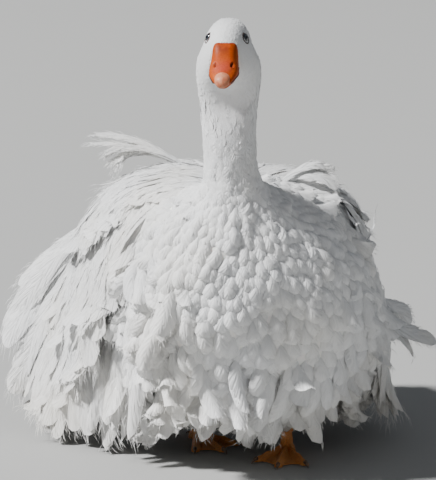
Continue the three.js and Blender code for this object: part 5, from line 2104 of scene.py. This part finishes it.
@dataclass
class Drape:
    """The hanging layers: wings, mantle, flanks and tail."""

    form: GooseForm
    rng: np.random.Generator

    def sheet_flight(
        self, sheet: Curtain, roots: Roots, vane: Vane, length: Array, width: Array, heading: Array,
        rise: float, depth: float, overhang: tuple[float, float], tuck: Array,
    ) -> Flight:
        """Lays plumes down a hanging layer, shortened so that they end near its hem.

        Args:
            sheet: The layer.
            roots: Where the plumes grow.
            vane: Their cut.
            length: Wanted lengths, in metres.
            width: Widths.
            heading: Turns from straight down towards the tail, in radians.
            rise: Height gained by a tip.
            depth: Where the roots lie under the layer's outer face.
            overhang: Least and most that a plume may pass the hem.
            tuck: Bends of the tips.

        Returns:
            The batch.
        """
        n = len(roots.u)
        share = np.linspace(0, 1, 14)
        u = roots.u[:, None] + (1 - roots.u[:, None]) * share
        line = sheet.point(u, np.broadcast_to(roots.v[:, None], u.shape))
        left = np.linalg.norm(np.diff(line, axis=1), axis=-1).sum(1)
        longest = left / np.maximum(np.cos(heading), 0.5) + self.rng.uniform(*overhang, n)
        length = np.maximum(np.minimum(length, longest), 0.018)
        depths = depth + self.rng.uniform(0, 0.3, n) * rise
        base, normal = path_on(sheet, roots, heading, length, vane.shares(), depths, (0.0, 1.4))
        return Flight(
            base, normal, self.form.nearest_place(base[:, 0]), length, width,
            np.full(n, rise) * self.rng.uniform(0.7, 1.1, n), tuck, self.rng.normal(0, 0.2, n),
            self.rng.normal(0, 0.18, n),
        )

    def line_flight(
        self, lines: Sequence[Line], side: int, vane: Vane, copies: int, stray: float, slim: float,
        facing: tuple[float, float, float],
    ) -> Flight:
        """Bunches of single feathers along given lines.

        Args:
            lines: The lines.
            side: -1 to mirror them in x.
            vane: The cut.
            copies: Feathers along each line.
            stray: How far their points stray from the line's, in millimetres.
            slim: Width of one feather as a share of the line's width.
            facing: What the flat of the feathers looks at.

        Returns:
            The batch.
        """
        rng = self.rng
        mirror = np.array([side, 1, 1])
        points = [np.repeat(np.array([getattr(line, key) for line in lines], float), copies, axis=0)
                  for key in ("root", "bend", "tip")]
        n = len(points[0])
        root, bend, tip = (p * mirror for p in points)
        shake = rng.normal(0, 1, (3, n, 3)) * np.array([0.5, 0.8, 1.0])[:, None, None] * stray
        share = vane.shares()[None, :, None]
        moved = ((p + s)[:, None] * MM for p, s in zip((root, bend, tip), shake))
        base = bezier(*moved, share) + ORIGIN_SHIFT
        base[..., 2] = np.maximum(base[..., 2], LOWEST_SHAFT)
        normal = np.broadcast_to(unit(np.array(facing) * mirror), base.shape)
        length = np.linalg.norm(np.diff(base, axis=1), axis=-1).sum(1)
        width = np.repeat([line.width for line in lines], copies) * MM * slim * rng.uniform(0.8, 1.2, n)
        zero = np.zeros(n)
        return Flight(base, normal, self.form.nearest_place(base[:, 0]), length, width, zero,
                      rng.normal(0, 0.35, n), rng.normal(0, 0.15, n), rng.normal(0, 0.3, n))

    def lining(self, sheet: Curtain, depth: float, reach: float) -> Array:
        """Rings of a thin closed sheet under the plumes, with a wavy lower edge."""
        last = len(sheet.cuts) - 1
        v = np.linspace(0.1, last - 0.1, 90)[:, None]
        edge = reach + 0.03 * np.sin(7 * v) + 0.02 * np.sin(19 * v + 1)
        down = np.linspace(0.02, 1, 24)[None, :] * edge
        outer = sheet.point(down, v * np.ones_like(down), depth)
        inner = sheet.point(down, v * np.ones_like(down), depth + 1.6 * MM)
        return np.concatenate([outer, inner[:, ::-1]], axis=1)

    def silk(self, sheet: Curtain, cuts: tuple[float, float], length: float,
             heading: Callable[[Roots], Array], curls: float) -> Flight:
        """The close, silky plumes of one stretch of a hanging layer.

        Args:
            sheet: The layer.
            cuts: First and last cut of the stretch.
            length: Their mean length.
            heading: Turn from straight down at each root.
            curls: Share of the plumes near the hem whose tips curl out.

        Returns:
            The batch.
        """
        rng = self.rng
        roots = scatter(sheet, (0.0, 0.93), cuts, even(SILK_SPACE[0]), even(SILK_SPACE[1]), rng, 0.6)
        n = len(roots.u)
        curl = rng.random(n) < curls * smoothstep(0.5, 0.85, roots.u)
        tuck = np.where(curl, rng.uniform(0.3, 1.2, n), rng.normal(-0.08, 0.1, n))
        return self.sheet_flight(
            sheet, roots, SILK_VANE, length * rng.uniform(0.75, 1.2, n), rng.uniform(0.023, 0.036, n),
            heading(roots) + rng.normal(0, 0.17, n), 2.2 * MM, 3.6 * MM, (-0.01, 0.014), tuck,
        )

    def strands(self, sheet: Curtain, cuts: tuple[float, float],
                heading: Callable[[Roots], Array]) -> Flight:
        """Fine loose strands that lie over the silky plumes.

        Args:
            sheet: The layer.
            cuts: First and last cut of the stretch.
            heading: Turn from straight down at each root.

        Returns:
            The batch.
        """
        rng = self.rng
        roots = scatter(sheet, (0.0, 0.9), cuts, even(STRAND_SPACE[0]), even(STRAND_SPACE[1]), rng, 0.9)
        n = len(roots.u)
        flight = self.sheet_flight(
            sheet, roots, STRAND_VANE, rng.uniform(0.035, 0.085, n), rng.uniform(0.0035, 0.0085, n),
            heading(roots) + rng.normal(0, 0.2, n), 1.8 * MM, 2.0 * MM, (-0.008, 0.016),
            rng.normal(-0.15, 0.3, n),
        )
        flight.sway = rng.normal(0, 0.35, n)
        flight.twist = rng.normal(0, 0.35, n)
        return flight

    def wing(self, name: str, sheet: Curtain, lines: Sequence[Line], extra: Sequence[Line],
             material: bpy.types.Material) -> None:
        """One folded wing: silky plumes over a lining in two pieces, and long bunches at
        the hem."""
        rng = self.rng
        facing = (1.0, -0.7, 0.35)
        halves = (("front", (0.1, 3.7), 0, 2), ("back", (3.7, 7.8), 2, len(lines)))
        for half, cuts, first, last in halves:
            plumage = Plumage(rng)
            if half == "front":
                plumage.parts.add(*closed_outward(self.lining(sheet, 9 * MM, 0.86)))
            plumage.add(self.silk(sheet, cuts, 0.08, wing_heading, 0.4), SILK_VANE)
            plumage.add(self.strands(sheet, cuts, wing_heading), STRAND_VANE)
            bunches = self.line_flight(lines[first:last], sheet.side, QUILL_VANE, 4, 7.5, 0.78, facing)
            plumage.add(bunches, QUILL_VANE)
            if half == "front":
                rags = self.line_flight(RAG_LINES, sheet.side, WISP_VANE, 10, 11.0, 0.55, facing)
                plumage.add(rags, WISP_VANE)
            if extra and half == "back":
                plumage.add(self.line_flight(extra, sheet.side, QUILL_VANE, 3, 3.0, 0.8, facing), QUILL_VANE)
            replaced = [name] if half == "front" else []
            dress(plumage.build(f"coat_{name}_{half}"), material, replaced)

    def mantle(self, name: str, sheet: Curtain, raised: Sequence[Line], replaced: Sequence[str],
               material: bpy.types.Material) -> None:
        """The scapular plumes of one side, with its raised feathers."""
        plumage = Plumage(self.rng)
        plumage.parts.add(*closed_outward(self.lining(sheet, 8 * MM, 0.8)))
        cuts = (0.05, 6.9)
        plumage.add(self.silk(sheet, cuts, 0.07, mantle_heading, 0.25), SILK_VANE)
        plumage.add(self.strands(sheet, cuts, mantle_heading), STRAND_VANE)
        plumage.add(self.line_flight(raised, 1, QUILL_VANE, 6, 6.0, 0.42, (0, -1, 1)), QUILL_VANE)
        dress(plumage.build(f"coat_{name}"), material, replaced)

    def flank(self, name: str, sheet: Curtain, material: bpy.types.Material) -> None:
        """Curled belly feathers that hang beside a leg."""
        rng = self.rng
        plumage = Plumage(rng)
        plumage.parts.add(*closed_outward(self.lining(sheet, 9 * MM, 0.7)))
        for _ in range(2):
            roots = scatter(sheet, (0.0, 0.85), (0.05, 5.95), even(0.018), even(0.015), rng, 0.6)
            n = len(roots.u)
            length = rng.uniform(0.035, 0.055, n)
            heading = np.radians(12) + rng.normal(0, 0.35, n)
            tuck = np.where(rng.random(n) < 0.35, rng.uniform(0.8, 2.4, n), rng.uniform(-0.9, 0, n))
            width = rng.uniform(0.017, 0.026, n)
            plumage.add(
                self.sheet_flight(sheet, roots, FLUFF_VANE, length, width, heading, 6 * MM, 8 * MM,
                                  (-0.01, 0.004), tuck),
                FLUFF_VANE,
            )
        dress(plumage.build(f"coat_{name}"), material, [name])

    def tail(self, material: bpy.types.Material) -> None:
        """A fan of tail feathers, with coverts over and under them."""
        plumage = Plumage(self.rng)
        for layer, (count, reach, lift) in enumerate(TAIL_LAYERS):
            share = np.linspace(-0.5, 0.5, count)
            lines = [self._tail_line(s, reach, lift, layer) for s in share]
            plumage.add(self.line_flight(lines, 1, QUILL_VANE, 1, 2.0, 1.0, (0, -0.2, 1)), QUILL_VANE)
        dress(plumage.build("coat_tail"), material, ["tail"])

    @staticmethod
    def _tail_line(share: float, reach: float, lift: float, layer: int) -> Line:
        """One tail feather: share runs from -0.5 at the right to 0.5 at the left."""
        angle = math.radians(84 * share)
        length = 74 * (1 - 0.35 * abs(share)) * reach
        level = 196 + 10 * share * share + lift * 0.6
        tip = (length * math.sin(angle), 202 + length * math.cos(angle), level)
        root = (18 * share, 176, 218 + lift)
        bend = ((root[0] + tip[0]) / 2, (root[1] + tip[1]) / 2, 230 - 14 * share * share + lift)
        return Line(root, bend, tip, 26 - 2 * layer)

    def build(self, silk: bpy.types.Material, down: bpy.types.Material) -> None:
        """Makes every hanging layer."""
        left = Curtain(cuts=WING_CUTS, side=1, spread=0.88, lift=-14)
        right = Curtain(cuts=WING_CUTS, side=-1, spread=1.12, lift=12, drop=22)
        self.wing("wing_left", left, LEFT_LINES, SPLAYED_LINES, silk)
        self.wing("wing_right", right, RIGHT_LINES, (), silk)
        mantle_left = Curtain(cuts=MANTLE_CUTS, side=1, spread=0.92, lift=-6)
        mantle_right = Curtain(cuts=MANTLE_CUTS, side=-1, spread=1.13, lift=20)
        self.mantle("mantle_left", mantle_left, RAISED_LINES[1:], ["mantle"], silk)
        self.mantle("mantle_right", mantle_right, RAISED_LINES[:1], [], silk)
        self.flank("flank_left", Curtain(cuts=FLANK_CUTS, side=1, spread=0.94), down)
        self.flank("flank_right", Curtain(cuts=FLANK_CUTS, side=-1, spread=1.02, drop=8), down)
        self.tail(silk)


# ------------------------------------------------------------------ studio
@dataclass
class Studio:
    """Camera, soft lights and a pale floor."""

    azimuth: float = -16.0
    elevation: float = 14.0
    distance: float = 4.0
    lens: float = 250.0
    sensor: float = 36.0
    aim: tuple[float, float] = (-0.0348, 0.246)
    target: tuple[float, float, float] = (0.005, -0.020, 0.0)

    def axes(self) -> tuple[Array, Array, Array]:
        """The directions towards the camera, to its right and upwards in its view."""
        a, e = math.radians(self.azimuth), math.radians(self.elevation)
        back = np.array([math.sin(a) * math.cos(e), -math.cos(a) * math.cos(e), math.sin(e)])
        right = np.array([math.cos(a), math.sin(a), 0.0])
        return back, right, np.cross(back, right)

    def camera(self) -> None:
        """A long lens, turned to the studio's azimuth and elevation."""
        back, right, up = self.axes()
        place = np.array(self.target) + back * self.distance
        aim = np.array(self.target) + right * self.aim[0] + up * self.aim[1]
        data = bpy.data.cameras.new("camera")
        data.sensor_fit = "VERTICAL"
        data.sensor_height = self.sensor
        data.lens = self.lens
        data.clip_end = 60.0
        eye = bpy.data.objects.new("camera", data)
        eye.location = place
        eye.rotation_euler = look_at(place, aim)
        bpy.context.scene.collection.objects.link(eye)
        bpy.context.scene.camera = eye

    def light(self, name: str, towards: tuple[float, float, float], far: float, size: float,
              power: float) -> None:
        """One soft square light.

        Args:
            name: Its name.
            towards: Shares of the camera's back, right and the upright in its direction.
            far: Its distance from the goose.
            size: The square's side.
            power: Watts.
        """
        back, right, _ = self.axes()
        middle = np.array([0.0, 0.0, 0.25])
        way = unit(back * towards[0] + right * towards[1] + UP * towards[2])
        data = bpy.data.lights.new(name, "AREA")
        data.size = size
        data.energy = power
        lamp = bpy.data.objects.new(name, data)
        lamp.location = middle + way * far
        lamp.rotation_euler = look_at(middle + way * far, middle)
        bpy.context.scene.collection.objects.link(lamp)

    def sun(self, name: str, towards: tuple[float, float, float], strength: float, angle: float) -> None:
        """One far, soft light that reaches the whole floor alike.

        Args:
            name: Its name.
            towards: As for light().
            strength: Watts on each square metre.
            angle: How wide it looks from the goose, in degrees.
        """
        back, right, _ = self.axes()
        way = unit(back * towards[0] + right * towards[1] + UP * towards[2])
        data = bpy.data.lights.new(name, "SUN")
        data.energy = strength
        data.angle = math.radians(angle)
        lamp = bpy.data.objects.new(name, data)
        lamp.location = way * 3
        lamp.rotation_euler = look_at(way * 3, way * 0)
        bpy.context.scene.collection.objects.link(lamp)

    def floor(self) -> None:
        """A wide floor at the level of the feet."""
        rings = np.array([[[-12, -12, 0], [12, -12, 0], [12, 12, 0], [-12, 12, 0]]], float)
        floor = grid_piece("floor", [np.concatenate([rings - [0, 0, 0.02], rings])])
        floor.data.materials.append(FloorFinish().make())

    def build(self) -> None:
        """Sets camera, lights, floor and the light of the room."""
        self.camera()
        self.sun("key", (0.2, -0.8, 0.8), 7.6, 7.0)
        self.light("fill", (1.0, 0.5, 0.3), 2.8, 2.0, 3.5)
        self.floor()
        world = bpy.data.worlds.new("room")
        world.use_nodes = True
        world.node_tree.nodes["Background"].inputs["Color"].default_value = colour(0.80, 0.86, 0.95)
        world.node_tree.nodes["Background"].inputs["Strength"].default_value = 0.17
        bpy.context.scene.world = world


def look_at(place: Array, aim: Array) -> tuple[float, float, float]:
    """The turn of a camera or lamp at place that looks at aim, upright."""
    away = np.asarray(aim) - np.asarray(place)
    level = math.hypot(away[0], away[1])
    return (math.atan2(level, -away[2]), 0.0, math.atan2(-away[0], away[1]))


def main() -> None:
    """Builds the goose piece by piece and sets the scene."""
    logging.basicConfig(level=logging.INFO, format="%(message)s")
    rng = np.random.default_rng(SEED)
    form = GooseForm()
    eyes = Eyes(form)
    Studio().build()
    Skin(form, eyes).build()
    eyes.build()
    Bill(form).build()
    claws = grid_piece("claws", [rings for leg in LEGS for rings in leg.claws()])
    dress(claws, CLAW_HORN.make())
    velvet, down, silk = VELVET_FINISH.make(), DOWN_FINISH.make(), SILK_FINISH.make()
    BodyCoat(form, eyes, rng).build(velvet, down)
    Drape(form, rng).build(silk, down)


if __name__ == "__main__":
    main()
